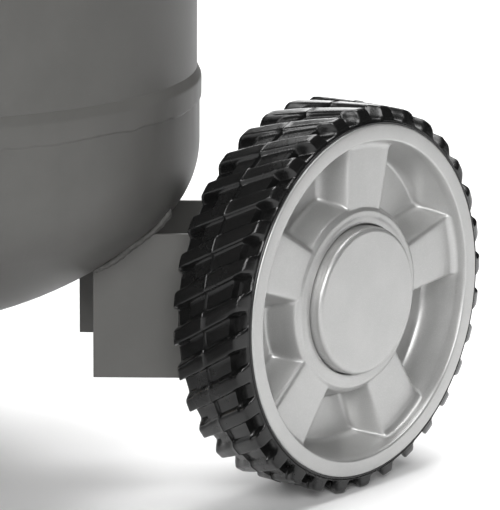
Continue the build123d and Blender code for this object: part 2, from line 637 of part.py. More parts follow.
def crank_nodes():
    """Eccentric with its pin, wobble piston with its cup seal."""
    rod_x = CYLINDER_X - ROD_WIDTH / 2
    pin_end = rod_x - OPEN_PIVOT
    crown = THROW + ROD_LENGTH
    disc_end = pin_end - 6
    crank = tube(26, SHAFT_R, (28, 0, 0), (30, 0, 0)) + cyl(26, (30, 0, 0), (disc_end, 0, 0))
    crank += cyl(CRANK_PIN_R, (disc_end, 0, THROW), (pin_end, 0, THROW))
    crank += block(30, disc_end, -20, 20, -31, -10) & cyl(31, (30, 0, 0), (disc_end, 0, 0))
    eye = cyl(17, (rod_x, 0, THROW), (rod_x + ROD_WIDTH, 0, THROW))
    shank = block(rod_x + 2, rod_x + ROD_WIDTH - 2, -8, 8, THROW + 10, crown - 8)
    piston = cyl(BORE_R - 0.8, (CYLINDER_X, 0, crown - 10), (CYLINDER_X, 0, crown))
    seal = tube(BORE_R - 0.1, BORE_R - 0.8, (CYLINDER_X, 0, crown - 8), (CYLINDER_X, 0, crown - 1))
    return {"eccentric": pump_place(crank), "connecting_rod": pump_place(eye + shank + piston),
            "piston_seal": pump_place(seal), "cooling_fan": pump_place(fan())}


def head_bolts():
    top = VALVE_PLATE_Z - AXIS_Z + 26.5
    return [pump_place(hexagon(5.5, (CYLINDER_X + a, b, top), (CYLINDER_X + a, b, top + 4))
                       + cyl(3, (CYLINDER_X + a, b, top - 34), (CYLINDER_X + a, b, top)))
            for a in (32, -32) for b in (32, -32)]


def cylinder_nodes():
    """Finned cylinder, valve plate, finned head and its bolts."""
    x, plate = CYLINDER_X, VALVE_PLATE_Z - AXIS_Z
    barrel = tube(BORE_R + 3, BORE_R, (x, 0, 36), (x, 0, plate))
    for z in (44, 52, 60):
        barrel += tube(BORE_R + 5.5, BORE_R + 2, (x, 0, z), (x, 0, z + 2))
    top = block(x - 40, x + 40, -40, 40, plate - 7.5, plate)
    barrel += top - cyl(BORE_R, (x, 0, plate - 9), (x, 0, plate + 1))
    valve = block(x - 40, x + 40, -40, 40, plate, plate + 5)
    for side in (10, -10):
        valve -= cyl(4, (x + side, 0, plate - 1), (x + side, 0, plate + 6))
    head = block(x - 40, x + 40, -40, 40, plate + 5, plate + 26.5)
    for k in range(5):
        head -= block(x - 22 + 10 * k, x - 17 + 10 * k, -41, 41, plate + 17, plate + 27)
    intake_z = plate + 12
    filter_can = cyl(16, (x, 42, intake_z), (x, 66, intake_z)) + cyl(6, (x, 40, intake_z), (x, 42, intake_z))
    parts = {"cylinder": pump_place(barrel), "valve_plate": pump_place(valve),
             "cylinder_head": pump_place(head)}
    for screw in head_bolts():
        parts = {name: shape - screw for name, shape in parts.items()}
    return parts | {"head_bolts": group(head_bolts()), "intake_filter": pump_place(filter_can)}


def discharge_nodes():
    """Aluminium tube from the head, down to the check valve on the tank."""
    port_z = VALVE_PLATE_Z + 12
    start_y = DECK_CENTRE_Y - 40
    boss_z = dome_z(sqrt(CYLINDER_X ** 2 + DISCHARGE_Y ** 2)) + BOSS_PROUD
    valve_top = boss_z + 27
    path = FilletPolyline((CYLINDER_X, start_y, port_z), (CYLINDER_X, DISCHARGE_Y, port_z),
                          (CYLINDER_X, DISCHARGE_Y, valve_top), radius=30)
    section = Plane(origin=(CYLINDER_X, start_y, port_z), z_dir=(0, -1, 0)) * (Circle(5) - Circle(3.8))
    pipe = sweep(section, path=path)
    at = (CYLINDER_X, DISCHARGE_Y)
    valve = cyl(PIPE_R, (*at, boss_z - 16), (*at, boss_z)) + hexagon(14, (*at, boss_z), (*at, boss_z + 20))
    valve += cyl(9, (*at, boss_z + 20), (*at, valve_top))
    return {"discharge_tube": pipe, "check_valve": valve}


# ---------------------------------------------------------------- controls
def gauge_case(x, y, z):
    """Round case facing the front, with a recess for the dial, needle and lens."""
    case = cyl(GAUGE_R, (x, y, z), (x, y - GAUGE_DEPTH, z))
    return case - cyl(GAUGE_R - 2, (x, y - 14, z), (x, y - GAUGE_DEPTH - 1, z))


def needle(x, y, z):
    """Needle at zero, lower left of the dial, on its pin."""
    pointer = Pos(x, y - 17, z) * Rot(0, 225, 0) * (Pos(0, 0, 6) * Box(1.6, 0.8, 24))
    return pointer + cyl(2, (x, y - 15.2, z), (x, y - 18.2, z))


def gauge_nodes(regulator):
    """Two gauges: one on the manifold, one on an elbow out of the regulator's side."""
    manifold_front = MANIFOLD_Y - MANIFOLD_W / 2
    tx, ty, tz = TANK_GAUGE
    ox, oy, oz = OUTLET_GAUGE
    tank = gauge_case(*TANK_GAUGE) + cyl(6, (tx, manifold_front, tz), (tx, ty, tz))
    pipe_y = oy + 8
    elbow = cyl(6, (REGULATOR_X + 8, pipe_y, oz), (ox + 6, pipe_y, oz)) - regulator
    outlet = gauge_case(*OUTLET_GAUGE) + elbow + cyl(6, (ox, pipe_y, oz), (ox, oy, oz))
    places = (TANK_GAUGE, OUTLET_GAUGE)
    dials = [cyl(GAUGE_R - 2.2, (x, y - 14, z), (x, y - 15, z)) for x, y, z in places]
    lenses = [cyl(GAUGE_R - 2, (x, y - 21, z), (x, y - 23, z)) for x, y, z in places]
    return {"gauge_cases": group([tank, outlet]), "gauge_dials": group(dials), "gauge_lenses": group(lenses),
            "tank_gauge_needle": needle(*TANK_GAUGE), "outlet_gauge_needle": needle(*OUTLET_GAUGE)}


def manifold_nodes():
    """Manifold on its nipple, pressure switch with knob and cord gland, safety valve."""
    x0, x1 = MANIFOLD_X
    y, z, w, h = MANIFOLD_Y, MANIFOLD_Z, MANIFOLD_W / 2, MANIFOLD_H / 2
    top = z + h
    bar = block(x0, x1, y - w, y + w, z - h, top)
    bar = fillet(bar.edges().filter_by(Axis.X), 3) + cyl(PIPE_R, (0, y, dome_z(-y) - 8), (0, y, z))
    switch = block(-34, 34, y - 34, y + w, top, top + 86)
    switch = fillet(switch.edges().filter_by(Axis.Z) + switch.faces().sort_by(Axis.Z)[-1].edges(), 7)
    front = y - 34
    knob = cyl(14, (0, front - 0.4, top + 52), (0, front - 11, top + 52))
    knob += block(-3, 3, front - 16, front - 11, top + 39, top + 65)
    gland_z = top + 22
    gland_y = y - 10
    gland = hexagon(11, (34, gland_y, gland_z), (42, gland_y, gland_z))
    gland += cyl(8, (42, gland_y, gland_z), (56, gland_y, gland_z))
    gland -= cyl(4, (46, y - 10, gland_z), (57, y - 10, gland_z))
    valve = hexagon(11, (SAFETY_X, y, top), (SAFETY_X, y, top + 10))
    valve += cyl(8, (SAFETY_X, y, top + 10), (SAFETY_X, y, top + 32))
    valve -= cyl(3, (SAFETY_X, y, top + 14), (SAFETY_X, y, top + 33))
    stem = cyl(3 - RUNNING, (SAFETY_X, y, top + 15), (SAFETY_X, y, top + 41))
    stem += Pos(SAFETY_X, y, top + 49) * Rot(90, 0, 0) * Torus(9, 1.5)
    return {"manifold": bar, "pressure_switch": switch, "pressure_switch_knob": knob, "cord_gland": gland,
            "safety_valve_body": valve, "safety_valve_stem": stem}


def regulator_nodes():
    """In-line regulator with its knob on top, and the quick coupler in front of it."""
    x, y, z = REGULATOR_X, REGULATOR_Y, MANIFOLD_Z
    body = cyl(REGULATOR_R, (x, y, z - 28), (x, y, z + 26)) + cyl(14, (x, y, z + 26), (x, y, z + 34))
    body += cyl(9, (x, MANIFOLD_Y - MANIFOLD_W / 2, z), (x, y, z))
    body += cyl(9, (x, y, z), (x, y - REGULATOR_R - 7, z))
    body = fillet(body.edges().filter_by(GeomType.CIRCLE).sort_by(Axis.Z)[0], 5)
    knob = cyl(19, (x, y, z + 34.4), (x, y, z + 62))
    for k in range(12):
        knob -= Pos(x, y, 0) * Rot(0, 0, 30 * k) * cyl(2.5, (20, 0, z + 38), (20, 0, z + 63))
    hex_y = y - REGULATOR_R - 7
    coupler = hexagon(12, (x, hex_y, z), (x, hex_y - 12, z))
    coupler += cyl(9.5, (x, hex_y - 12, z), (x, COUPLER_END_Y, z))
    coupler -= cyl(COUPLER_BORE_R, (x, COUPLER_END_Y + 24, z), (x, COUPLER_END_Y - 1, z))
    sleeve = tube(13, 9.5 + RUNNING, (x, COUPLER_END_Y + 32, z), (x, COUPLER_END_Y + 6, z))
    return {"regulator_body": body, "regulator_knob": knob, "coupler_body": coupler, "coupler_sleeve": sleeve}


# ---------------------------------------------------------------- write the parts
def main():
    nodes = tank_nodes() | wheel_nodes() | foot_nodes() | drain_nodes() | {"pump_platform": platform()}
    nodes |= shroud_nodes() | handle_nodes() | motor_nodes() | crank_nodes() | cylinder_nodes()
    nodes |= discharge_nodes() | manifold_nodes() | regulator_nodes()
    nodes |= gauge_nodes(nodes["regulator_body"])
    nodes["hex_bolts"] = group(foot_bolts() + motor_bolts() + handle_bolts())
    os.makedirs("parts", exist_ok=True)
    for name, shape in nodes.items():
        solids = shape.solids()
        whole = solids[0] if len(solids) == 1 else Compound(children=list(solids))
        export_step(whole, f"parts/{name}.step")
    print(len(nodes), "nodes")


main()
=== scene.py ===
"""Looks of an upright portable air compressor: enamelled tank, moulded wheels, welded brackets, covered pump
and brass and plastic controls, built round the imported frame. Lengths are metres in the frame's own axes."""
import json

import bmesh
import bpy
import numpy as np
from bpy.props import FloatProperty, FloatVectorProperty, IntProperty, PointerProperty
from mathutils import Matrix, Vector


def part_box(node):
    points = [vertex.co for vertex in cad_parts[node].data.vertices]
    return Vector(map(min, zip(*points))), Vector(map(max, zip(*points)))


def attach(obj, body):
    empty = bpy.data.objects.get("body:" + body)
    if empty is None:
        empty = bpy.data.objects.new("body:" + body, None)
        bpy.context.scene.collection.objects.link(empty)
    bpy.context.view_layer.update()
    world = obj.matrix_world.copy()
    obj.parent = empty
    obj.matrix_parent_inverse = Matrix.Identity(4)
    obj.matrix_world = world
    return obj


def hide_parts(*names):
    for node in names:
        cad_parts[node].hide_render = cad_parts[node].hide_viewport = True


bl_info = {
    "name": "Upright air compressor",
    "version": (1, 0, 0),
    "blender": (4, 5, 0),
    "location": "3D View > Sidebar > Compressor",
    "description": "Builds the finished surfaces of an upright portable air compressor",
    "category": "Add Mesh",
}

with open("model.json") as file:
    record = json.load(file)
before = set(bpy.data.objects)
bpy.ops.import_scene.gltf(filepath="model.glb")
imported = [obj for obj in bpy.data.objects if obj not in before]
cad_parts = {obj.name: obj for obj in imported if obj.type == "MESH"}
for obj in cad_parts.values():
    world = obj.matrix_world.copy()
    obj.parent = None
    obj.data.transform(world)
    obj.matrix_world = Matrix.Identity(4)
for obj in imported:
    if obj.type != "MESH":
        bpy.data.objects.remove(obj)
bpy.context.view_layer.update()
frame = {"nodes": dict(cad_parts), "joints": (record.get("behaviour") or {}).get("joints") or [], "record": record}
FRAME_BODY = "tank_and_frame"
RECORD = frame["record"]
BODY_OF = {node: body for body, nodes in RECORD["behaviour"]["bodies"].items() for node in nodes}
SLOT_OF = {part["node"]: part["material_slot"] for part in RECORD["subparts"]}
PIVOT = {joint["name"]: joint.get("pos_m") for joint in frame["joints"]}
SIDES = {"right": 1, "left": -1}
MM = 0.001
TURN = 2 * np.pi


# ------------------------------------------------------------------ sizes and colours that a user may change
def length(name, description, default):
    return FloatProperty(name=name, description=description, default=default, unit="LENGTH", precision=4)


def degrees(name, description, default):
    return FloatProperty(name=name, description=description + ", in degrees", default=default)


def colour(name, description, default):
    return FloatVectorProperty(name=name, description=description, default=default, subtype="COLOR", size=3,
                               min=0, max=1)


def middle(node, axis):
    low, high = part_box(node)
    return (low[axis] + high[axis]) / 2


class TankSizes(bpy.types.PropertyGroup):
    shell_radius: length("Shell radius", "Outside radius of the rolled shell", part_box("tank_shell")[1].x)
    sheet: length("Sheet", "Thickness of the steel", 0.0018)
    tangent: length("Lower tangent", "Height where the lower head turns into its skirt", 0.2251)
    skirt: length("Skirt", "Straight part of a head", 0.046)
    crown: length("Crown radius", "Outside radius of a head's crown", 0.265)
    knuckle: length("Knuckle radius", "Outside radius of a head's knuckle", 0.066)
    band: length("Seam band", "Height of the proud band at a skirt's end", 0.0173)
    proud: length("Band height", "How far the band stands out of the skirt", 0.0012)


class WheelSizes(bpy.types.PropertyGroup):
    rim_radius: length("Rim radius", "Outside radius of the silver rim", 0.1154)
    seat_radius: length("Seat radius", "Radius of the tyre's seat", 0.112)
    width: length("Width", "Width of rim and tyre", 0.060)
    cap_radius: length("Cap radius", "Radius of the centre cap", 0.049)
    spoke_half: length("Half spoke", "Half width of a spoke's face carried in to the axle", 0.0109)
    spoke_flare: degrees("Spoke flare", "Lean of a spoke's sides from its middle line", 5.8)
    spoke_face: length("Spoke face", "Depth of the spokes' faces from the rim's outer plane", 0.0092)
    pocket_inner: length("Pocket start", "Inner radius of a pocket", 0.0612)
    pocket_outer: length("Pocket end", "Outer radius of a pocket", 0.1037)
    pocket_depth: length("Pocket depth", "Depth of a pocket from the rim's outer plane", 0.030)
    spokes: IntProperty(name="Spokes", description="Number of spokes", default=5, min=3)
    phase: degrees("Phase", "Turn of the first spoke, clockwise from up", 7.0)
    lugs: IntProperty(name="Lugs", description="Number of tread lugs", default=32, min=8)
    lug_skew: degrees("Lug skew", "Slant of a lug from the axle's direction", 31.0)
    lug_share: FloatProperty(name="Lug share", description="Share of the pitch taken by a lug", default=0.46)
    tyre_radius: length("Tyre radius", "Radius over the lugs", 0.1268)
    groove: length("Groove depth", "Depth of the tread between lugs", 0.0038)


class Colours(bpy.types.PropertyGroup):
    enamel: colour("Enamel", "Satin grey paint of the tank", (0.088, 0.0865, 0.0825))
    silver: colour("Silver", "Moulded plastic of the wheels", (0.40, 0.40, 0.395))
    tyre: colour("Tyre", "Moulded rubber", (0.006, 0.006, 0.006))
    black: colour("Black", "Moulded covers and switches", (0.018, 0.018, 0.019))
    brass: colour("Brass", "Machined brass fittings", (0.70, 0.47, 0.17))
    red: colour("Red", "Switch knob and needles", (0.45, 0.015, 0.012))
    floor: colour("Floor", "Studio floor", (0.90, 0.90, 0.90))


# ------------------------------------------------------------------ shapes as arrays
def grid_faces(rows, columns, wrap_rows, wrap_columns):
    """Quads between neighbouring points of a rows-by-columns grid."""
    i = np.arange(rows if wrap_rows else rows - 1)[:, None]
    j = np.arange(columns if wrap_columns else columns - 1)[None, :]
    i2, j2 = (i + 1) % rows, (j + 1) % columns
    corners = [i * columns + j, i2 * columns + j, i2 * columns + j2, i * columns + j2]
    return np.stack(np.broadcast_arrays(*corners), -1).reshape(-1, 4)


def rounded(points, radius, steps=5, closed=True):
    """Outline whose corners are replaced by arcs: each arc touches both sides, at the radius over the tangent
    of the half corner angle from the corner, limited to 0.45 of the shorter side."""
    p = np.asarray(points, float)
    radius = np.broadcast_to(np.asarray(radius, float), len(p))
    out = []
    for k, corner in enumerate(p):
        ends = not closed and k in (0, len(p) - 1)
        before, after = p[k - 1] - corner, p[(k + 1) % len(p)] - corner
        la, lb = np.linalg.norm(before), np.linalg.norm(after)
        a, b = before / max(la, 1e-9), after / max(lb, 1e-9)
        half = np.arccos(np.clip(a @ b, -1, 1)) / 2
        if ends or radius[k] <= 0 or half > 1.55:
            out.append(corner[None])
            continue
        reach = min(radius[k] / np.tan(half), 0.45 * la, 0.45 * lb)
        start, end = corner + a * reach, corner + b * reach
        bisector = (a + b) / np.linalg.norm(a + b)
        centre = corner + bisector * reach / np.cos(half)
        r = reach * np.tan(half)
        t = np.linspace(0, 1, steps + 1)[:, None]
        chord = start * (1 - t) + end * t - centre
        out.append(centre + r * chord / np.linalg.norm(chord, axis=1, keepdims=True))
    return np.concatenate(out)


def arc(centre, radius, start, end, steps):
    """Points (radius, height) on a circle, angles in radians from straight down."""
    t = np.linspace(start, end, steps)
    return np.stack([centre[0] + radius * np.sin(t), centre[1] - radius * np.cos(t)], -1)


AXES = {"X": ((0, 1, 0), (0, 0, 1), (1, 0, 0)), "Y": ((0, 0, 1), (1, 0, 0), (0, 1, 0)),
        "Z": ((1, 0, 0), (0, 1, 0), (0, 0, 1))}


def turned(profile, centre=(0, 0, 0), axis="Z", segments=96, closed=True, relief=None):
    """Surface of revolution: at angle t the point is centre + along * axis + radius * (cos t * e1 + sin t *
    e2) for each (radius, along) of the profile. A profile that starts and ends on the axis isn't closed.
    Relief gives what is taken off the radius, from the angle and the profile's radius and along."""
    e1, e2, e3 = (np.array(v, float) for v in AXES[axis])
    profile = np.asarray(profile, float)
    t = np.linspace(0, TURN, segments, endpoint=False)[:, None, None]
    radius, along = profile[None, :, 0, None], profile[None, :, 1, None]
    if relief:
        radius = radius - relief(t[..., 0], profile[None, :, 0], profile[None, :, 1])[..., None]
    grid = np.array(centre) + along * e3 + radius * (np.cos(t) * e1 + np.sin(t) * e2)
    return grid.reshape(-1, 3), grid_faces(segments, len(profile), True, closed)


def swept(path, section):
    """Section carried along a path: each station's frame turns as little as possible from the one before,
    and a section point (a, b) lies at station + a * normal + b * binormal. One section, or one for each."""
    path = np.asarray(path, float)
    tangent = np.gradient(path, axis=0)
    tangent /= np.linalg.norm(tangent, axis=1, keepdims=True)
    guess = np.array([0.0, 0.0, 1.0]) if abs(tangent[0, 2]) < 0.9 else np.array([1.0, 0.0, 0.0])
    normals = np.empty_like(path)
    for k, t in enumerate(tangent):
        guess = guess - t * (guess @ t)
        guess /= np.linalg.norm(guess)
        normals[k] = guess
    binormals = np.cross(tangent, normals)
    section = np.broadcast_to(section, (len(path),) + np.asarray(section).shape[-2:])
    grid = path[:, None] + section[..., :1] * normals[:, None] + section[..., 1:] * binormals[:, None]
    return grid.reshape(-1, 3), grid_faces(len(path), section.shape[1], False, True)


def circle(radius, steps=20):
    """Points (a, b) on a circle, counter-clockwise."""
    t = np.linspace(0, TURN, steps, endpoint=False)
    return np.stack([radius * np.cos(t), radius * np.sin(t)], -1)


def joined(shapes):
    """Several (vertices, faces) pairs of the same face size as one."""
    vertices, faces, count = [], [], 0
    for v, f in shapes:
        vertices.append(v)
        faces.append(np.asarray(f) + count)
        count += len(v)
    return np.concatenate(vertices), np.concatenate(faces)


def noise_1d(x, seed, period=512):
    """Smooth repeatable noise between -1 and 1: cosine steps between random values at whole numbers."""
    values = np.random.default_rng(seed).uniform(-1, 1, period)
    k = np.floor(x).astype(int)
    t = (1 - np.cos((x - k) * np.pi)) / 2
    return values[k % period] * (1 - t) + values[(k + 1) % period] * t


# ------------------------------------------------------------------ pieces from arrays
def tidy(mesh, sharp, dissolve=False):
    """Merges doubles, closes open ends, points faces outwards and marks edges above an angle as sharp."""
    bm = bmesh.new()
    bm.from_mesh(mesh)
    bmesh.ops.remove_doubles(bm, verts=bm.verts, dist=1e-6)
    bmesh.ops.dissolve_degenerate(bm, dist=1e-7, edges=bm.edges)
    if dissolve:
        bmesh.ops.dissolve_limit(bm, angle_limit=np.radians(0.8), verts=bm.verts, edges=bm.edges)
    holes = [e for e in bm.edges if e.is_boundary]
    if holes:
        bmesh.ops.holes_fill(bm, edges=holes, sides=0)
    bmesh.ops.recalc_face_normals(bm, faces=bm.faces)
    limit = np.radians(sharp)
    for edge in bm.edges:
        edge.smooth = len(edge.link_faces) == 2 and edge.calc_face_angle(0) < limit
    for face in bm.faces:
        face.smooth = True
    bm.to_mesh(mesh)
    bm.free()


def settle(piece, body, slot, replaces=()):
    """Gives a piece its slot's finish and its body, and hides the CAD nodes it stands for."""
    piece.data.materials.clear()
    piece.data.materials.append(finishes()[slot])
    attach(piece, body)
    if replaces:
        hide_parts(*replaces)
    return piece


def build(name, shape, slot, body=FRAME_BODY, replaces=(), sharp=32):
    """Piece from a (vertices, faces) pair."""
    vertices, faces = shape
    mesh = bpy.data.meshes.new(name)
    mesh.from_pydata(vertices.tolist(), [], faces.tolist())
    tidy(mesh, sharp)
    piece = bpy.data.objects.new(name, mesh)
    bpy.context.scene.collection.objects.link(piece)
    return settle(piece, body, slot, replaces)


def dressed(node, width=0.0):
    """Copy of a CAD node with its curves smooth; given a width, its flats are also joined and every sharp edge
    gets a round.
    """
    mesh = frame["nodes"][node].data.copy()
    mesh.name = node + "_finished"
    tidy(mesh, 30, dissolve=width > 0)
    piece = bpy.data.objects.new(mesh.name, mesh)
    bpy.context.scene.collection.objects.link(piece)
    if width:
        bevel = piece.modifiers.new("edge", "BEVEL")
        bevel.width, bevel.segments, bevel.limit_method = width, 2, "ANGLE"
        bevel.angle_limit = np.radians(30)
        bevel.harden_normals = True
    return settle(piece, BODY_OF[node], SLOT_OF[node], (node,))


# ------------------------------------------------------------------ shader maths
class Wire:
    """A shader socket that takes part in arithmetic: each operator adds one Math node."""

    def __init__(self, kit, socket):
        self.kit, self.socket = kit, socket

    def _math(self, operation, *values):
        return self.kit.node("ShaderNodeMath", {"operation": operation}, values)

    def __add__(self, other):
        return self._math("ADD", self, other)

    def __sub__(self, other):
        return self._math("SUBTRACT", self, other)

    def __rsub__(self, other):
        return self._math("SUBTRACT", other, self)

    def __mul__(self, other):
        return self._math("MULTIPLY", self, other)

    def __pow__(self, other):
        return self._math("POWER", self, other)

    __radd__, __rmul__ = __add__, __mul__

    def above(self, low, high):
        """0 below low, 1 above high, smooth between."""
        return self.kit.node("ShaderNodeMapRange", {"interpolation_type": "SMOOTHSTEP"},
                             {"Value": self, "From Min": low, "From Max": high})


class Kit:
    """One material under construction."""

    def __init__(self, name):
        self.material = bpy.data.materials.new(name)
        self.material.use_nodes = True
        self.tree = self.material.node_tree
        self.surface = self.tree.nodes["Principled BSDF"]
        self.place = Wire(self, self.tree.nodes.new("ShaderNodeTexCoord").outputs["Object"])

    def node(self, kind, settings=None, inputs=None, output=0):
        """Adds a node: settings first, then values or wires by input name or place, and gives one output."""
        made = self.tree.nodes.new(kind)
        for key, value in (settings or {}).items():
            setattr(made, key, value)
        pairs = inputs.items() if isinstance(inputs, dict) else enumerate(inputs or ())
        for key, value in pairs:
            if isinstance(value, Wire):
                self.tree.links.new(value.socket, made.inputs[key])
            else:
                made.inputs[key].default_value = value
        return Wire(self, made.outputs[output])

    def stretched(self, scale):
        return self.node("ShaderNodeMapping", {}, {"Vector": self.place, "Scale": scale})

    def noise(self, scale, detail=3, roughness=0.5, place=None):
        inputs = {"Vector": place or self.place, "Scale": scale, "Detail": detail, "Roughness": roughness}
        return self.node("ShaderNodeTexNoise", {"noise_dimensions": "3D"}, inputs)

    def cells(self, scale):
        return self.node("ShaderNodeTexVoronoi", {"feature": "F1"},
                         {"Vector": self.place, "Scale": scale, "Randomness": 1.0})

    def split(self, index):
        return self.node("ShaderNodeSeparateXYZ", {}, [self.place], index)

    def blend(self, factor, first, second):
        """Colour between two colours."""
        keys = {0: factor, 6: tuple(first) + (1,) if not isinstance(first, Wire) else first,
                7: tuple(second) + (1,) if not isinstance(second, Wire) else second}
        return self.node("ShaderNodeMix", {"data_type": "RGBA"}, keys, 2)

    def bump(self, height, distance, strength=1.0, under=None):
        keys = {"Height": height, "Distance": distance, "Strength": strength}
        if under:
            keys["Normal"] = under
        return self.node("ShaderNodeBump", {}, keys)

    def finish(self, **sockets):
        """Sets the shader's sockets; underscores in names stand for spaces."""
        for key, value in sockets.items():
            socket = self.surface.inputs[key.replace("_", " ")]
            if isinstance(value, Wire):
                self.tree.links.new(value.socket, socket)
            else:
                socket.default_value = value
        return self.material


def shade(base, factor):
    return tuple(min(c * factor, 1) for c in base)


def enamel(name, base):
    """Sprayed satin enamel: orange peel, slow waves of the rolled sheet, faint dust and uneven sheen."""
    kit = Kit(name)
    peel = kit.noise(420, 2, 0.45)
    waves = kit.noise(9, 2, 0.5)
    cloud = kit.noise(14, 4, 0.6)
    specks = kit.cells(260).above(0.16, 0.05)
    tint = kit.blend(cloud.above(0.35, 0.7), shade(base, 0.94), shade(base, 1.06))
    tint = kit.blend(specks * 0.12, tint, shade(base, 1.7))
    normal = kit.bump(waves, 0.0012, 0.25)
    normal = kit.bump(peel, 0.00012, 0.35, normal)
    return kit.finish(Base_Color=tint, Roughness=0.42 + cloud * 0.10, Normal=normal, Coat_Weight=0.05,
                      Coat_Roughness=0.3, IOR=1.36)


def silver_plastic(name, base):
    """Silver-pigmented moulding: fine flake, faint flow marks and a soft satin sheen."""
    kit = Kit(name)
    flake = kit.cells(1900)
    flow = kit.noise(22, 4, 0.6, kit.stretched((1.0, 1.6, 1.6)))
    grain = kit.noise(1500, 2, 0.5)
    tint = kit.blend(flow.above(0.3, 0.75), shade(base, 0.95), shade(base, 1.04))
    tint = kit.blend(flake.above(0.55, 0.75) * 0.25, tint, shade(base, 1.35))
    normal = kit.bump(grain, 0.00005, 0.25)
    return kit.finish(Base_Color=tint, Roughness=0.30 + flow * 0.12, Metallic=0.55, Normal=normal,
                      Coat_Weight=0.2, Coat_Roughness=0.25)


def tyre_rubber(name, base):
    """Moulded glossy rubber: fine pores, faint release marks, a little grey dust on the lugs."""
    kit = Kit(name)
    pores = kit.noise(900, 3, 0.6)
    smear = kit.noise(30, 5, 0.65)
    dust = (smear.above(0.5, 0.8)) * kit.noise(260, 3, 0.7).above(0.45, 0.7)
    tint = kit.blend(dust * 0.3, base, shade(base, 3.2))
    normal = kit.bump(smear, 0.0006, 0.3)
    normal = kit.bump(pores, 0.00008, 0.35, normal)
    return kit.finish(Base_Color=tint, Roughness=0.16 + smear * 0.18 + dust * 0.2, Normal=normal, IOR=1.45)


def moulded_plastic(name, base, rough=0.5, grain=1400, depth=0.00012):
    """Spark-textured moulding with rubbed, slightly shinier patches."""
    kit = Kit(name)
    texture = kit.noise(grain, 3, 0.6)
    rubbed = kit.noise(18, 4, 0.6)
    tint = kit.blend(rubbed.above(0.4, 0.75), base, shade(base, 1.25))
    normal = kit.bump(texture, depth, 0.5)
    shine = rubbed.above(0.5, 0.8) * 0.1
    return kit.finish(Base_Color=tint, Roughness=rough - shine, Normal=normal, IOR=1.48)


def metal(name, base, rough=0.3, brush=(1, 1, 1), scale=900, patches=1.0, depth=0.00004):
    """Bare or plated metal: machining lines or grain, uneven tarnish."""
    kit = Kit(name)
    lines = kit.noise(scale, 3, 0.55, kit.stretched(brush))
    tarnish = kit.noise(45, 4, 0.6)
    tint = kit.blend(tarnish.above(0.35, 0.75) * patches, base, shade(base, 0.78))
    normal = kit.bump(lines, depth, 0.5)
    return kit.finish(Base_Color=tint, Metallic=1.0, Roughness=rough + tarnish * 0.12 * patches,
                      Normal=normal)


def banded(name, first, second, pitch, axis):
    """Metal with narrow bands across one axis: stacked steel sheet, or turns of varnished wire."""
    kit = Kit(name)
    wave = kit.node("ShaderNodeMath", {"operation": "SINE"}, [kit.split(axis) * (TURN / pitch)])
    height = wave + kit.noise(300) * 0.6
    tint = kit.blend(height.above(-0.4, 0.9), first, second)
    return kit.finish(Base_Color=tint, Metallic=0.8, Roughness=0.4, Normal=kit.bump(height, pitch * 0.2, 0.7))


def foam(name, base):
    """Closed-cell grip foam: open pores and a dry, matt skin."""
    kit = Kit(name)
    pores = kit.cells(700).above(0.25, 0.6)
    tint = kit.blend(kit.noise(60, 4), shade(base, 0.8), shade(base, 1.5))
    return kit.finish(Base_Color=tint, Roughness=0.82 - pores * 0.1, Normal=kit.bump(pores, 0.0002, 0.5))


def dial_card(name):
    """Printed card: paper white with a faint mottled grain."""
    kit = Kit(name)
    tint = kit.blend(kit.noise(240, 3), (0.80, 0.80, 0.77), (0.90, 0.90, 0.88))
    return kit.finish(Base_Color=tint, Roughness=0.5, Normal=kit.bump(kit.noise(1200), 0.00003, 0.3))


def clear_lens(name):
    """Thin clear plastic with faint scratches."""
    kit = Kit(name)
    scratch = kit.noise(500, 4, 0.7, kit.stretched((1, 1, 12))).above(0.6, 0.8)
    return kit.finish(Base_Color=(0.9, 0.92, 0.93, 1), Roughness=0.04 + scratch * 0.15,
                      Alpha=0.12 + scratch * 0.05)


def studio(name, base):
    """Plain paper-smooth studio floor with the faintest mottle."""
    kit = Kit(name)
    tint = kit.blend(kit.noise(3, 3), shade(base, 0.99), shade(base, 1.01))
    return kit.finish(Base_Color=tint, Roughness=0.7)


FINISHES = {}


def finishes():
    """All finishes by record slot, made once."""
    if not FINISHES:
        c = bpy.context.scene.compressor_colours
        FINISHES.update({
            "tank_paint": enamel("tank_enamel", tuple(c.enamel)),
            "bracket_paint": enamel("bracket_enamel", shade(c.enamel, 1.05)),
            "rim_silver": silver_plastic("silver_moulding", tuple(c.silver)),
            "tyre_rubber": tyre_rubber("tyre_moulding", tuple(c.tyre)),
            "black_rubber": moulded_plastic("foot_rubber", shade(c.black, 1.1), 0.75, 600, 0.0002),
            "shroud_black": moulded_plastic("cover_moulding", tuple(c.black), 0.46),
            "switch_black": moulded_plastic("switch_moulding", shade(c.black, 0.9), 0.36, 1800, 0.00006),
            "knob_red": moulded_plastic("knob_moulding", tuple(c.red), 0.28, 1500, 0.00004),
            "needle_red": moulded_plastic("needle_lacquer", tuple(c.red), 0.4, 2500, 0.00002),
            "zinc_steel": metal("zinc_plate", (0.62, 0.61, 0.57), 0.3),
            "brass": metal("machined_brass", tuple(c.brass), 0.26, (1, 6, 1), 500),
            "cast_aluminium": metal("cast_aluminium", (0.55, 0.55, 0.56), 0.48, (1, 1, 1), 420, 1.0, 0.00018),
            "laminations": banded("stacked_sheet", (0.25, 0.25, 0.26), (0.5, 0.5, 0.52), 0.001, 0),
            "copper_wire": banded("varnished_wire", (0.25, 0.08, 0.03), (0.62, 0.27, 0.12), 0.0012, 2),
            "grip_foam": foam("grip_foam", (0.02, 0.02, 0.021)),
            "dial_white": dial_card("dial_card"),
            "lens_clear": clear_lens("gauge_lens"),
        })
    return FINISHES


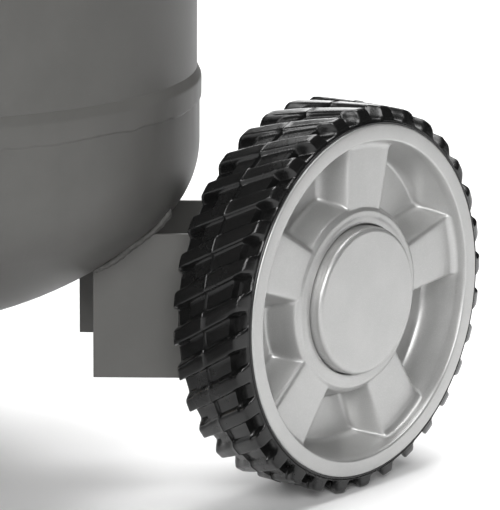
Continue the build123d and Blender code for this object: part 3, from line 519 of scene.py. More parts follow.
# ------------------------------------------------------------------ tank
def head_centres(sizes):
    """Radius of the knuckle's centre circle, and height of the crown's centre above the tangent line."""
    knuckle_centre = sizes.shell_radius + sizes.sheet - sizes.knuckle
    return knuckle_centre, np.sqrt((sizes.crown - sizes.knuckle) ** 2 - knuckle_centre ** 2)


def head_outline(sizes, inset, steps=28):
    """Half section of the lower head, from its pole to its tangent line: crown arc, then knuckle arc."""
    knuckle_centre, rise = head_centres(sizes)
    lean = np.arctan2(knuckle_centre, rise)
    crown = arc((0, sizes.tangent + rise), sizes.crown - inset, 0, lean, steps)
    knuckle = arc((knuckle_centre, sizes.tangent), sizes.knuckle - inset, lean, np.pi / 2, steps)
    return np.concatenate([crown, knuckle[1:]])


def tank_profiles(sizes):
    """Closed half sections of the lower head with its joggled skirt, and of the shell."""
    r, t = sizes.shell_radius, sizes.sheet
    top = sizes.tangent + sizes.skirt
    low = top - sizes.band
    outside = r + t
    proud = outside + sizes.proud
    rise = rounded([(outside, low - 0.004), (outside, low - 0.0008), (proud, low + 0.0006),
                    (proud, top - 0.004), (r + 0.0004, top + 0.0015), (r, top + 0.002)],
                   [0, 0.0008, 0.0010, 0.006, 0.004, 0], 6, False)
    inner = head_outline(sizes, t)
    lip = np.array([[r, sizes.tangent + 0.026], [r - t, sizes.tangent + 0.026]])
    head = np.concatenate([head_outline(sizes, 0), rise, lip, [[r - t, sizes.tangent + 0.002]], inner[::-1]])
    shell_low, shell_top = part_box("tank_shell")
    levels = np.linspace(shell_low.z, shell_top.z, 24)
    shell = np.concatenate([np.stack([np.full_like(levels, r), levels], -1),
                            np.stack([np.full_like(levels, r - t), levels[::-1]], -1)])
    return head, shell


def uneven(shape, level, seed, reach=0.0035):
    """Moves the points near a level the way a hand-fed weld does: up and down and in and out by noise of the
    angle, fading with the square of the distance from the level."""
    points, faces = shape
    angle = np.arctan2(points[:, 1], points[:, 0]) / TURN
    distance = np.hypot(points[:, 0], points[:, 1])
    outside = distance > bpy.context.scene.compressor_tank.shell_radius + 0.001
    near = np.exp(-((points[:, 2] - level) / reach) ** 2) * outside
    drift = noise_1d(angle * 96, seed, 96) * 0.6 + noise_1d(angle * 300, seed + 1, 300) * 0.4
    swell = noise_1d(angle * 180, seed + 2, 180)
    radial = points[:, :2] / np.maximum(distance, 1e-6)[:, None]
    moved = points.copy()
    moved[:, 2] += 0.0011 * near * drift
    moved[:, :2] += radial * (0.00028 * near * swell)[:, None]
    return moved, faces


class COMPRESSOR_OT_tank(bpy.types.Operator):
    """Makes the shell, the two dished heads with their seam bands, and the welded pipe bosses"""
    bl_idname = "compressor.tank"
    bl_label = "Tank"

    def execute(self, context):
        sizes = context.scene.compressor_tank
        head, shell = tank_profiles(sizes)
        flip = 2 * middle("tank_shell", 2)
        build("tank_shell_sheet", turned(shell, segments=256), "tank_paint", replaces=("tank_shell",))
        upper = np.stack([head[:, 0], flip - head[:, 1]], -1)
        seam = sizes.tangent + sizes.skirt - sizes.band
        lower_dish = uneven(turned(head, segments=360, closed=False), seam, 31)
        upper_dish = uneven(turned(upper, segments=360, closed=False), flip - seam, 47)
        build("tank_lower_dish", lower_dish, "tank_paint", replaces=("tank_lower_head", "tank_seam_welds"))
        build("tank_upper_dish", upper_dish, "tank_paint", replaces=("tank_upper_head",))
        bore, radius = 0.0085, 0.016
        for name, node, x, height in (("outlet_boss", "manifold", 0.0, 0.021),
                                      ("inlet_boss", "check_valve", middle("check_valve", 0), 0.020)):
            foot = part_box(node)[0].z - 0.004
            top = foot + height
            ring = rounded([(bore, foot), (radius + 0.004, foot), (radius, top - 0.009), (radius, top),
                            (bore, top)], [0, 0, 0.004, 0.0015, 0.0005], 5)
            build(name, turned(ring, (x, middle(node, 1), 0), segments=48), "tank_paint")
        return {"FINISHED"}


# ------------------------------------------------------------------ wheels
HUB_BORE, HUB_RADIUS = 0.0082, 0.020
HUB_STEP = 0.0012                    # how far the ring round the cap stands out of the spokes' faces
COVE = 0.0052                        # round between the spokes' faces and the rim's lip
LIP = 0.004                          # width of the rim's lips beside the tyre's seat
CAP_DEPTH, CAP_WALL = 0.016, 0.003
SHOULDER = 0.0110                    # width of the tyre's shoulder, where the tread's floor lies lower
PARTING_X = -0.0325                  # mould line round the tread, from the rim's outer plane


def rim_grid(sizes):
    """Closed surface of one rim about the X axis, outer plane at 0. Its rows are turned points of a closed
    section; on the face, depth and columns also follow the distances inside a pocket's edges."""
    flare, half, face_x = np.radians(sizes.spoke_flare), sizes.spoke_half, sizes.spoke_face
    inner, outer = sizes.pocket_inner, sizes.pocket_outer
    step = np.pi / sizes.spokes
    shares = np.linspace(0, 1, 7)
    offsets = np.array([-3.0, -1.8, -1.0, -0.5, -0.1, 0.2, 0.5, 0.9, 1.4, 2.0, 2.8, 3.6, 4.4, 5.2, 6.0, 6.8,
                        7.6, 8.8, 10.2]) * MM
    bend = np.linspace(0, np.radians(84), 9)
    radius = np.concatenate([np.linspace(0.0540, 0.0570, 3), np.linspace(0.0575, 0.0612, 9),
                             np.linspace(0.0616, 0.0690, 16), np.linspace(0.0700, 0.0920, 16),
                             np.linspace(0.0928, outer - 0.0056, 8), outer - COVE + COVE * np.sin(bend)])
    ring = np.clip((radius - 0.0575) / 0.0028, 0, 1)
    cove = np.clip((radius - outer + COVE) / COVE, 0, 1)
    face = -face_x + HUB_STEP * (1 - ring * ring * (3 - 2 * ring)) + COVE * (1 - np.sqrt(1 - cove ** 2))
    seat = sizes.cap_radius + 0.0003
    start = rounded([(HUB_BORE, -CAP_DEPTH), (seat, -CAP_DEPTH), (seat, HUB_STEP - face_x),
                     (0.0535, HUB_STEP - face_x)], [0.0005, 0.0008, 0.0010, 0], 3, False)
    rim, tyre_seat, width = sizes.rim_radius, sizes.seat_radius, sizes.width
    hub_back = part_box("right_wheel_rim")[0].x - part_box("right_wheel_rim")[1].x
    barrel, disc_back = tyre_seat - 0.006, -sizes.pocket_depth - 0.004
    rest = rounded([(outer + 0.0002, -0.0030), (outer + 0.0012, 0), (rim - 0.0002, 0), (rim, -LIP),
                    (tyre_seat, -LIP), (tyre_seat, LIP - width), (rim, LIP - width), (rim, -width),
                    (barrel, -width), (barrel, disc_back), (HUB_RADIUS, disc_back), (HUB_RADIUS, hub_back),
                    (HUB_BORE, hub_back)],
                   [0, 0.0014, 0.0012, 0.0008, 0.0005, 0.0005, 0.0008, 0.001, 0.001, 0.004, 0.004, 0.001,
                    0.0005], 4, False)
    on_face = np.arange(len(start) + len(radius) + len(rest))
    on_face = (on_face >= len(start)) & (on_face < len(start) + len(radius))
    along = np.concatenate([start[:, 1], face, rest[:, 1]])
    radius = np.concatenate([start[:, 0], radius, rest[:, 0]])
    guide = np.clip(radius, inner - 0.001, outer)[None, :]
    edge = flare + np.arcsin((half + offsets[:, None]) / guide)
    tail = edge[-1:] + (step - edge[-1:]) * shares[1:, None]
    half_turn = np.concatenate([edge[:1] * shares[:-1, None], edge, tail])
    sector = np.concatenate([half_turn[:-1], 2 * step - half_turn[::-1][:-1]])
    fold = np.tile(np.concatenate([half_turn[:-1], half_turn[::-1][:-1]]), (sizes.spokes, 1))
    turns = np.arange(sizes.spokes)[:, None, None] * 2 * step + sector[None]
    angle = turns.reshape(-1, len(radius)) + np.radians(sizes.phase)
    depth = pocket_depth(radius * np.sin(fold - flare) - half, radius - inner, outer - radius,
                         sizes.pocket_depth - face_x)
    x = along[None, :] - np.where(on_face[None, :], depth, 0)
    grid = np.stack([x, radius * np.sin(angle), radius * np.cos(angle)], -1)
    return grid.reshape(-1, 3), grid_faces(grid.shape[0], grid.shape[1], True, True)


def soft_min(a, b, reach):
    """Smaller of two depths, blended over a reach where they are close and both well below the face."""
    low = np.minimum(a, b)
    k = np.minimum(reach, 1.5 * low) + 1e-9
    return low - np.clip(k - np.abs(a - b), 0, None) ** 2 / (4 * k)


def pocket_depth(side, inward, outward, full):
    """Depth against the distances inside a pocket's side, inner and outer edges: each wall is a ramp with a
    small round at its top, and walls and floor blend with wide rounds."""
    def ramp(distance, run):
        return full / run * (distance + np.sqrt(distance ** 2 + 0.0011 ** 2)) / 2

    walls = soft_min(ramp(side, 0.0070), ramp(inward, 0.0056), 0.009)
    walls = soft_min(walls, ramp(outward, 0.0062), 0.009)
    return soft_min(walls, full, 0.008)


def cap_profile(sizes):
    """Half section of the cap as (radius, along): flat face, rounded edge, drafted wall, hollow back."""
    r, inside = sizes.cap_radius, sizes.cap_radius - CAP_WALL
    rest = rounded([(0.01, 0), (r - 0.0008, 0), (r, -CAP_DEPTH), (inside, -CAP_DEPTH), (inside, -CAP_WALL),
                    (0.01, -CAP_WALL)], [0, 0.0034, 0.0003, 0.0003, 0.003, 0], 9, False)
    return np.concatenate([[(0, 0)], rest, [(0, -CAP_WALL)]])


def tyre_grid(sizes):
    """Closed surface of one tyre about the X axis. Across the tread the columns lean with the lugs, and the
    radius is the lug's top, the groove's floor or the shoulder's lower floor, joined by short slopes."""
    width, lugs, top = sizes.width, sizes.lugs, sizes.tyre_radius
    floor, shoulder = top - sizes.groove, top - 0.0088
    share = sizes.lug_share
    lug = np.array([0, 0.020, 0.045, 0.075, share * 0.3, share * 0.62, share - 0.10, share - 0.05, share,
                    share + 0.04, share + 0.08])
    u = np.concatenate([lug, [0.66, 0.82, 0.93, 0.965]])
    lug_rise = [0.55, 0.86, 0.97, 1.0, 1.0, 1.0, 0.99, 0.93, 0.72, 0.35, 0.06]
    rise = np.interp(u, [*lug, 0.93, 0.965, 1.0], [*lug_rise, 0.0, 0.12, 0.55])
    x = -np.array([1.6, 2.0, 2.6, 3.4, 4.4, 5.6, 7.2, 9.4, 11.6, 12.6, 13.0, 13.5, 16, 20, 24, 28, 31.6, 32.1,
                   32.5, 32.9, 33.4, 37, 41, 45, 49.5, 52.0, 52.5, 53.0, 54.4, 56.2, 57.6, 58.6, 59.3,
                   59.8]) * MM
    edge = np.minimum(x[0] - x, x - x[-1])
    crown = top - 0.0005 - 0.0073 * np.clip(1 - edge / 0.0046, 0, 1) ** 2.3
    ridge = np.clip(1 - np.abs(x - PARTING_X) / 0.0006, 0, 1)
    low_edge = shoulder - 0.0010 * np.clip(1 - edge / 0.0012, 0, 1)
    ground = np.minimum(np.where(edge < SHOULDER, low_edge, floor), crown)
    height = ground[None, :] + (crown - ground)[None, :] * rise[:, None]
    height += ridge[None, :] * (0.0005 + 0.0014 * (1 - rise[:, None]))
    lean = (x + width / 2) * np.tan(np.radians(sizes.lug_skew)) / top
    pitch = TURN / lugs
    angle = (np.arange(lugs)[:, None] + u[None, :]).reshape(-1)[:, None] * pitch + lean[None, :]
    height = np.tile(height, (lugs, 1))
    rim, seat = sizes.rim_radius + 0.0001, sizes.seat_radius
    wall_x = np.array([-59.95, -59.9, -56, -56, -4, -4, -0.8, -0.7, -1.0, -1.5, -1.2, -1.5]) * MM
    wall_r = np.array([top - 0.0096, rim, rim, seat, seat, rim, rim, 0.1162, 0.1166, 0.1168, 0.1173, 0.1177])
    whole_x = np.concatenate([x, wall_x])
    whole_r = np.concatenate([height, np.broadcast_to(wall_r, (len(height), len(wall_r)))], 1)
    last = np.linspace(angle[:, -1], angle[:, 0], len(wall_x) + 2, axis=1)[:, 1:-1]
    whole_a = np.concatenate([angle, last], 1)
    grid = np.stack([np.broadcast_to(whole_x, whole_r.shape), whole_r * np.sin(whole_a),
                     whole_r * np.cos(whole_a)], -1)
    return grid.reshape(-1, 3), grid_faces(grid.shape[0], grid.shape[1], True, True)


class COMPRESSOR_OT_wheels(bpy.types.Operator):
    """Makes both wheels: spoked rim, lugged tyre and centre cap"""
    bl_idname = "compressor.wheels"
    bl_label = "Wheels"

    def execute(self, context):
        sizes = context.scene.compressor_wheel
        rim, tyre = rim_grid(sizes), tyre_grid(sizes)
        cap = turned(cap_profile(sizes), axis="X", segments=128, closed=False)
        for side, sign in SIDES.items():
            low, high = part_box(side + "_wheel_rim")
            centre = np.array([high.x if sign > 0 else low.x, middle(side + "_wheel_rim", 1),
                               middle(side + "_wheel_rim", 2)])
            body = side + "_wheel"
            for name, (points, faces), slot in (("wheel_rim", rim, "rim_silver"),
                                                ("tyre", tyre, "tyre_rubber"),
                                                ("wheel_cap", cap, "rim_silver")):
                placed = points * np.array([sign, 1, 1]) + centre
                node = f"{side}_{name}"
                build(node + "_moulding", (placed, faces), slot, body, (node,), 38)
        return {"FINISHED"}


# ------------------------------------------------------------------ brackets and welds
def dish_height(radius, upper=False):
    """Height of a head's outside at a distance from the axis: crown sphere, then knuckle torus."""
    s = bpy.context.scene.compressor_tank
    knuckle_centre, rise = head_centres(s)
    turn = s.crown * np.sin(np.arctan2(knuckle_centre, rise))
    crown = s.tangent + rise - np.sqrt(np.clip(s.crown ** 2 - radius ** 2, 0, None))
    knuckle = s.tangent - np.sqrt(np.clip(s.knuckle ** 2 - (radius - knuckle_centre) ** 2, 0, None))
    z = np.where(radius < turn, crown, knuckle)
    return 2 * middle("tank_shell", 2) - z if upper else z


def weld_bead(start, end, seed, size=0.0024, upper=False, steps=110):
    """Bead along the line where an upright plate meets a head: its section is a circle whose radius follows
    the ripples of the torch and a slow wander, and whose centre follows the head's height under the line."""
    t = np.linspace(0, 1, steps)
    plan = np.outer(1 - t, start) + np.outer(t, end)
    span = np.linalg.norm(np.subtract(end, start))
    ripple = 0.10 * np.sin(TURN * t * span / 0.0042) + 0.22 * noise_1d(t * span / 0.009, seed)
    radius = size * (1 + ripple) * np.clip(np.minimum(t, 1 - t) / 0.03, 0.25, 1)
    z = dish_height(np.hypot(plan[:, 0], plan[:, 1]), upper) + (0.0012 if upper else -0.0012)
    z = z + size * 0.35 * noise_1d(t * span / 0.012, seed + 7)
    path = np.column_stack([plan, z])
    section = circle(1.0, 14)[None] * radius[:, None, None]
    return swept(path, section)


BRACKET_TURN = np.radians(40)        # direction of a wheel bracket in plan, from the X axis
FLANGE_OUTSIDE, FLANGE_INSIDE = 0.0534, 0.0480


def bracket_lines(side):
    """Plan lines where a wheel bracket's two flanges meet the lower head, just off both faces of each."""
    direction = np.array([np.cos(BRACKET_TURN), np.sin(BRACKET_TURN)])
    across = np.array([-direction[1], direction[0]])
    mirror = np.array([SIDES[side], 1])
    lines = []
    for sign, begin, end in ((-1, 0.134, 0.184), (1, 0.120, 0.192)):
        for offset in (FLANGE_OUTSIDE, FLANGE_INSIDE):
            lines.append([(direction * k + across * offset * sign) * mirror for k in (begin, end)])
    return lines


class COMPRESSOR_OT_brackets(bpy.types.Operator):
    """Makes the wheel brackets, front foot, platform, handle brackets and their weld beads"""
    bl_idname = "compressor.brackets"
    bl_label = "Brackets and welds"

    def execute(self, context):
        for node in ("right_wheel_bracket", "left_wheel_bracket", "front_foot_bracket", "pump_platform",
                     "handle_brackets"):
            dressed(node, 0.0004)
        for side in SIDES:
            beads = [weld_bead(a, b, 11 * k + 3) for k, (a, b) in enumerate(bracket_lines(side))]
            build(side + "_bracket_weld", joined(beads), "bracket_paint", sharp=60)
        low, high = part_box("front_foot_bracket")
        foot = [weld_bead((low.x + 0.004, y), (high.x - 0.004, y), 90 + k, 0.003)
                for k, y in enumerate((high.y + 0.001, high.y - 0.004))]
        build("front_foot_weld", joined(foot), "bracket_paint", sharp=60)
        low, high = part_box("pump_platform")
        sizes = context.scene.compressor_tank
        depth = dish_height(np.array([0.0]), True)[0] - low.z
        meet = np.sqrt(2 * sizes.crown * depth - depth ** 2)
        sides = []
        for k, (axis, value) in enumerate(((0, low.x), (0, high.x), (1, low.y), (1, high.y))):
            half = np.sqrt(meet ** 2 - value ** 2) - 0.004
            ends = np.array([(value, -half), (value, half)])
            sides.append(weld_bead(*(ends if axis == 0 else ends[:, ::-1]), 120 + k, 0.003, True))
        build("platform_weld", joined(sides), "bracket_paint", sharp=60)
        low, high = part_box("handle_brackets")
        pads = []
        wide, tall = 0.028, 0.032
        for k, x in enumerate((low.x, low.x + wide, high.x - wide, high.x)):
            for j, start in enumerate((low.z, high.z - tall)):
                z = np.linspace(start, start + tall, 30)
                y = np.sqrt(sizes.shell_radius ** 2 - x ** 2) + 0.0004
                path = np.column_stack([np.full_like(z, x), np.full_like(z, y), z])
                radius = 0.0024 * (1 + 0.2 * noise_1d(z / 0.004, 200 + 10 * k + j))
                pads.append(swept(path, circle(1.0, 12)[None] * radius[:, None, None]))
        build("handle_bracket_weld", joined(pads), "bracket_paint", sharp=60)
        return {"FINISHED"}


# ------------------------------------------------------------------ gauges
DIAL_START, DIAL_SWEEP = 225.0, 270.0
DIAL_NUMBERS, TICKS_BETWEEN = 8, 5
NEEDLE_REACH = 0.0152
NUMBER_RADIUS = 0.0124


def spun(points, turn, centre):
    """Points (right, up) turned clockwise by degrees from up, as (x, y, z) in the dial's plane."""
    t = np.radians(turn)
    x = centre[0] + points[:, 0] * np.cos(t) + points[:, 1] * np.sin(t)
    z = centre[2] - points[:, 0] * np.sin(t) + points[:, 1] * np.cos(t)
    return np.stack([x, np.full(len(points), centre[1]), z], -1)


def plate(outline, turn, centre, thickness):
    """Flat piece: an outline in the dial's plane, and the same outline set back by a thickness."""
    front = spun(np.asarray(outline, float), turn, centre)
    back = front + np.array([0, thickness, 0])
    n = len(front)
    middle_front, middle_back = front.mean(0, keepdims=True), back.mean(0, keepdims=True)
    vertices = np.concatenate([front, back, middle_front, middle_back])
    k = np.arange(n)
    after = (k + 1) % n
    sides = np.concatenate([np.stack([k, after, after + n], -1), np.stack([k, after + n, k + n], -1)])
    ends = np.concatenate([np.stack([after, k, np.full(n, 2 * n)], -1),
                           np.stack([k + n, after + n, np.full(n, 2 * n + 1)], -1)])
    return vertices, np.concatenate([sides, ends])


def dial_marks(centre):
    """Ticks round a dial: a long one every fifth and a short one between, in the plane of the card's face."""
    marks, outer, count = [], 0.0186, DIAL_NUMBERS * TICKS_BETWEEN
    for k in range(count + 1):
        inner, half = (0.0168, 0.00016) if k % TICKS_BETWEEN else (0.0152, 0.00032)
        bar = [(-half, inner), (half, inner), (half, outer), (-half, outer)]
        marks.append(plate(bar, DIAL_START + DIAL_SWEEP * k / count, centre, 0.0002))
    return joined(marks)


def numerals(name, centre, step):
    """Numbers of a dial's scale as one flat mesh, each upright at its place."""
    vertices, faces, count = [], [], 0
    for k in range(DIAL_NUMBERS + 1):
        text = bpy.data.curves.new("numeral", "FONT")
        text.body = str(k * step)
        text.size = 0.0036
        text.align_x, text.align_y = "CENTER", "CENTER"
        holder = bpy.data.objects.new("numeral", text)
        mesh = bpy.data.meshes.new_from_object(holder)
        flat = np.empty(len(mesh.vertices) * 3)
        mesh.vertices.foreach_get("co", flat)
        flat = flat.reshape(-1, 3)
        t = np.radians(DIAL_START + DIAL_SWEEP * k / DIAL_NUMBERS)
        x = centre[0] + NUMBER_RADIUS * np.sin(t) + flat[:, 0]
        z = centre[2] + NUMBER_RADIUS * np.cos(t) + flat[:, 1]
        vertices.append(np.stack([x, np.full(len(x), centre[1]), z], -1))
        faces += [[v + count for v in p.vertices] for p in mesh.polygons]
        count += len(flat)
        bpy.data.objects.remove(holder)
        bpy.data.meshes.remove(mesh)
    mesh = bpy.data.meshes.new(name)
    mesh.from_pydata(np.concatenate(vertices).tolist(), [], faces)
    piece = bpy.data.objects.new(name, mesh)
    bpy.context.scene.collection.objects.link(piece)
    thickness = piece.modifiers.new("thickness", "SOLIDIFY")
    thickness.thickness = 0.00015
    return settle(piece, FRAME_BODY, "switch_black")


def pointer(centre):
    """Tapered needle with a round boss and a short tail, at zero."""
    outline = [(0.0010, 0.0040), (0.00025, NEEDLE_REACH), (-0.00025, NEEDLE_REACH), (-0.0010, 0.0040),
               (-0.0021, 0.0010), (-0.0021, -0.0012), (-0.0011, -0.0052), (0.0011, -0.0052),
               (0.0021, -0.0012), (0.0021, 0.0010)]
    hub = rounded([(0.0002, 0.0010), (0.0028, 0.0010), (0.0028, -0.0009), (0.0002, -0.0009)],
                  [0, 0.0003, 0.0006, 0], 4)
    return plate(outline, DIAL_START, centre, 0.0007), turned(hub, centre, "Y", 32)


class COMPRESSOR_OT_gauges(bpy.types.Operator):
    """Makes the two gauges: case, bezel, card with scale and numbers, needle and lens"""
    bl_idname = "compressor.gauges"
    bl_label = "Gauges"

    def execute(self, context):
        dressed("gauge_cases", 0.0006)
        dressed("gauge_dials")
        dressed("gauge_lenses")
        for gauge, step in (("tank", 2), ("outlet", 1)):
            pivot = PIVOT[gauge + "_needle_turn"]
            x, z = pivot[0], pivot[2]
            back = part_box(gauge + "_gauge_needle")[1].y + 0.0152
            card = (x, back - 0.01515, z)
            build(gauge + "_gauge_scale", dial_marks(card), "switch_black")
            numerals(gauge + "_gauge_numbers", (x, back - 0.0151, z), step)
            window, inside, outside, lip = 0.0226, 0.0251, 0.0262, -0.0232
            bezel = rounded([(inside, -0.0165), (outside, -0.0165), (outside, lip - 0.001),
                             (window, lip - 0.001), (window, lip), (inside, lip)],
                            [0, 0.0005, 0.0018, 0.0004, 0.0003, 0], 5)
            build(gauge + "_gauge_bezel", turned(bezel, (x, back, z), "Y", 128), "zinc_steel")
            blade, hub = pointer((x, back - 0.0176, z))
            body, node = gauge + "_needle", gauge + "_gauge_needle"
            build(node + "_blade", blade, "needle_red", body, (node,))
            build(node + "_boss", hub, "needle_red", body)
        return {"FINISHED"}


# ------------------------------------------------------------------ controls
def knurled(pitches, depth, low, high):
    """Relief of a diamond knurl: two families of V grooves that cross, between two places along the axis."""
    def relief(t, radius, along):
        inside = (along > low) & (along < high) & (radius > 0.012)
        climb = along * pitches / 0.013
        a = np.abs(np.sin((pitches * t + climb) / 2))
        b = np.abs(np.sin((pitches * t - climb) / 2))
        return depth * (1 - np.minimum(a, b)) * inside
    return relief


def fluted(count, depth, low):
    """Relief of round finger flutes on the outside above a radius."""
    def relief(t, radius, along):
        return depth * (0.5 + 0.5 * np.cos(count * t)) ** 2 * (radius > low)
    return relief


class COMPRESSOR_OT_controls(bpy.types.Operator):
    """Makes the manifold, pressure switch, regulator, coupler, safety valve, cord gland and drain valve"""
    bl_idname = "compressor.controls"
    bl_label = "Controls"

    def execute(self, context):
        for node, width in (("manifold", 0.0006), ("pressure_switch", 0.0), ("pressure_switch_knob", 0.0008),
                            ("cord_gland", 0.0004), ("safety_valve_body", 0.0004),
                            ("safety_valve_stem", 0.0), ("regulator_body", 0.0005),
                            ("coupler_body", 0.0004), ("drain_valve_body", 0.0005),
                            ("drain_valve_lever", 0.0006), ("check_valve", 0.0004),
                            ("discharge_tube", 0.0)):
            dressed(node, width)
        low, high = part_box("coupler_sleeve")
        x, z = (low.x + high.x) / 2, (low.z + high.z) / 2
        radius, bore, y0, y1 = (high.x - low.x) / 2, 0.00956, low.y, high.y
        collar = rounded([(bore, y0), (radius, y0), (radius, y0 + 0.004), (radius - 0.0011, y0 + 0.0048)],
                         [0.0004, 0.0008, 0.0006, 0.0005], 3, False)
        grip_rows = np.linspace(y0 + 0.0056, y1 - 0.0050, 40)
        grip = np.stack([np.full(40, radius - 0.0004), grip_rows], -1)
        tail = rounded([(radius - 0.0011, y1 - 0.0042), (radius, y1 - 0.0034), (radius, y1), (bore, y1)],
                       [0.0005, 0.0006, 0.0008, 0.0004], 3, False)
        relief = knurled(40, 0.0005, y0 + 0.0055, y1 - 0.0049)
        sleeve = turned(np.concatenate([collar, grip, tail]), (x, 0, z), "Y", 240, relief=relief)
        build("coupler_sleeve_knurled", sleeve, "zinc_steel", "sleeve", ("coupler_sleeve",), 50)
        low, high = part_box("regulator_knob")
        x, y, r = (low.x + high.x) / 2, (low.y + high.y) / 2, (high.x - low.x) / 2
        dish = high.z - 0.0016
        cap = rounded([(0.0005, low.z), (r - 0.0006, low.z), (r, low.z + 0.003),
                       (r - 0.0012, high.z - 0.0004), (r - 0.0045, high.z), (r - 0.0052, high.z - 0.0012),
                       (0.0005, dish)], [0, 0.0006, 0.001, 0.002, 0.0008, 0.0006, 0], 5)
        knob = turned(cap, (x, y, 0), "Z", 240, relief=fluted(20, 0.0016, r - 0.0030))
        build("regulator_knob_fluted", knob, "switch_black", "pressure_knob",
              ("regulator_knob",), 40)
        arrow = [(-0.0009, -0.006), (0.0009, -0.006), (0.0009, 0.003), (0.0028, 0.003), (0, 0.0075),
                 (-0.0028, 0.003), (-0.0009, 0.003)]
        flat, faces = plate(arrow, 0, (0, 0, 0), 0.0004)
        lifted = np.stack([x + flat[:, 0], y + flat[:, 2], dish + 0.0003 - flat[:, 1]], -1)
        build("regulator_knob_arrow", (lifted, faces), "zinc_steel", "pressure_knob")
        low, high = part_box("pressure_switch")
        ridge = rounded([(low.x, low.y), (high.x, low.y), (high.x, high.y), (low.x, high.y)], 0.007, 8)
        level = low.z + 0.0125
        ring = np.column_stack([ridge, np.full(len(ridge), level)])
        ring = np.concatenate([ring, ring[:1]])
        build("pressure_switch_joint", swept(ring, circle(0.0005, 8)), "switch_black")
        for k, dx in enumerate((-0.024, 0.024)):
            head = rounded([(0.0004, 0.0014), (0.0036, 0.0012), (0.0040, -0.0006), (0.0004, -0.0006)],
                           [0, 0.0010, 0.0002, 0], 4)
            screw = turned(head, (dx, (low.y + high.y) / 2, high.z), "Z", 32)
            build(f"pressure_switch_screw_{k + 1}", screw, "zinc_steel")
        return {"FINISHED"}


# ------------------------------------------------------------------ handle, feet, cover and pump
class COMPRESSOR_OT_handle(bpy.types.Operator):
    """Makes the tube handle and its ribbed foam grip"""
    bl_idname = "compressor.handle"
    bl_label = "Handle"

    def execute(self, context):
        dressed("handle_tube")
        low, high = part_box("handle_grip")
        y, z, r = (low.y + high.y) / 2, (low.z + high.z) / 2, (high.z - low.z) / 2
        bore, ribs = 0.0125, 18
        along = np.linspace(low.x + 0.003, high.x - 0.003, ribs * 8 + 1)
        wave = np.abs(np.sin(np.linspace(0, np.pi * ribs, len(along)))) ** 0.5
        outside = np.stack([r - 0.0013 + 0.0012 * wave, along], -1)
        start = rounded([(bore, low.x), (r - 0.001, low.x), (r - 0.0013, low.x + 0.003)],
                        [0.0005, 0.0015, 0], 5, False)[:-1]
        end = start[::-1] * np.array([1, -1])
        grip = turned(np.concatenate([start, outside, end]), (0, y, z), "X", 64)
        build("handle_grip_ribbed", grip, "grip_foam", replaces=("handle_grip",), sharp=50)
        return {"FINISHED"}


class COMPRESSOR_OT_feet(bpy.types.Operator):
    """Makes the two ribbed rubber feet"""
    bl_idname = "compressor.feet"
    bl_label = "Rubber feet"

    def execute(self, context):
        low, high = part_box("rubber_feet")
        r, y = (high.y - low.y) / 2, (high.y + low.y) / 2
        bore, top = 0.0042, high.z
        outline = rounded([(bore, 0.0035), (0.011, 0.0035), (0.012, 0), (r - 0.0015, 0), (r, 0.0020),
                           (r - 0.0006, 0.0050), (r - 0.0016, 0.0056), (r - 0.0008, 0.0064),
                           (r - 0.0016, 0.0092), (r - 0.0026, 0.0098), (r - 0.0018, 0.0106),
                           (r - 0.0032, top), (bore, top)],
                          [0.0003, 0.0006, 0.0006, 0.0008, 0.001, 0.0005, 0.0003, 0.0005, 0.0005, 0.0003,
                           0.0005, 0.001, 0.0003], 3)
        shapes = [turned(outline, (x, y, 0), "Z", 64) for x in (low.x + r, high.x - r)]
        build("rubber_feet_ribbed", joined(shapes), "black_rubber", replaces=("rubber_feet",), sharp=40)
        return {"FINISHED"}


def bead(outline, level, radius):
    """Half-round moulded bead along a closed outline (x, z) that lies across the Y axis."""
    loop = np.concatenate([outline, outline[:1]])
    return swept(np.insert(loop, 1, level, axis=1), circle(radius, 10))


class COMPRESSOR_OT_cover(bpy.types.Operator):
    """Makes the two cover mouldings with their moulded beads, and the cover screws"""
    bl_idname = "compressor.cover"
    bl_label = "Pump cover"

    def execute(self, context):
        for node, width in (("shroud_front", 0.0007), ("shroud_rear", 0.0007), ("shroud_screws", 0.0003)):
            dressed(node, width)
        low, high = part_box("shroud_front")
        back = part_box("shroud_rear")[1].y
        for name, y, side in (("front", low.y, 1), ("rear", back, -1)):
            x0, x1, z0, z1 = low.x + 0.052, high.x - 0.052, low.z + 0.034, high.z - 0.044
            outline = rounded([(x0, z0), (x1, z0), (x1, z1), (x0, z1)], 0.014, 6)
            build(f"cover_face_bead_{name}", bead(outline, y + side * 0.0002, 0.0011), "shroud_black")
        return {"FINISHED"}


class COMPRESSOR_OT_pump(bpy.types.Operator):
    """Makes the motor, pump and fixings that the cover hides or leaves in view"""
    bl_idname = "compressor.pump"
    bl_label = "Motor, pump and fixings"

    def execute(self, context):
        for node, width in (("axle_bolts", 0.0004), ("axle_washers", 0.0002), ("axle_nuts", 0.0004),
                            ("hex_bolts", 0.0004), ("vibration_mounts", 0.0006), ("motor_stator", 0.0003),
                            ("motor_windings", 0.0), ("motor_rotor", 0.0003), ("motor_rear_bracket", 0.0006),
                            ("pump_crankcase", 0.0006), ("motor_bearings", 0.0003), ("eccentric", 0.0004),
                            ("connecting_rod", 0.0005), ("piston_seal", 0.0003), ("cooling_fan", 0.0003),
                            ("cylinder", 0.0004), ("valve_plate", 0.0003), ("cylinder_head", 0.0005),
                            ("head_bolts", 0.0003), ("intake_filter", 0.0008)):
            dressed(node, width)
        return {"FINISHED"}


# ------------------------------------------------------------------ stage
CAMERA_PLACE = (1.65626, -1.59569, 0.67938)
CAMERA_ANGLES = (40.22, 13.09, -0.34)    # azimuth, elevation and roll in degrees
CAMERA_LENS = 253.44
FLOOR_REACH = 14.0
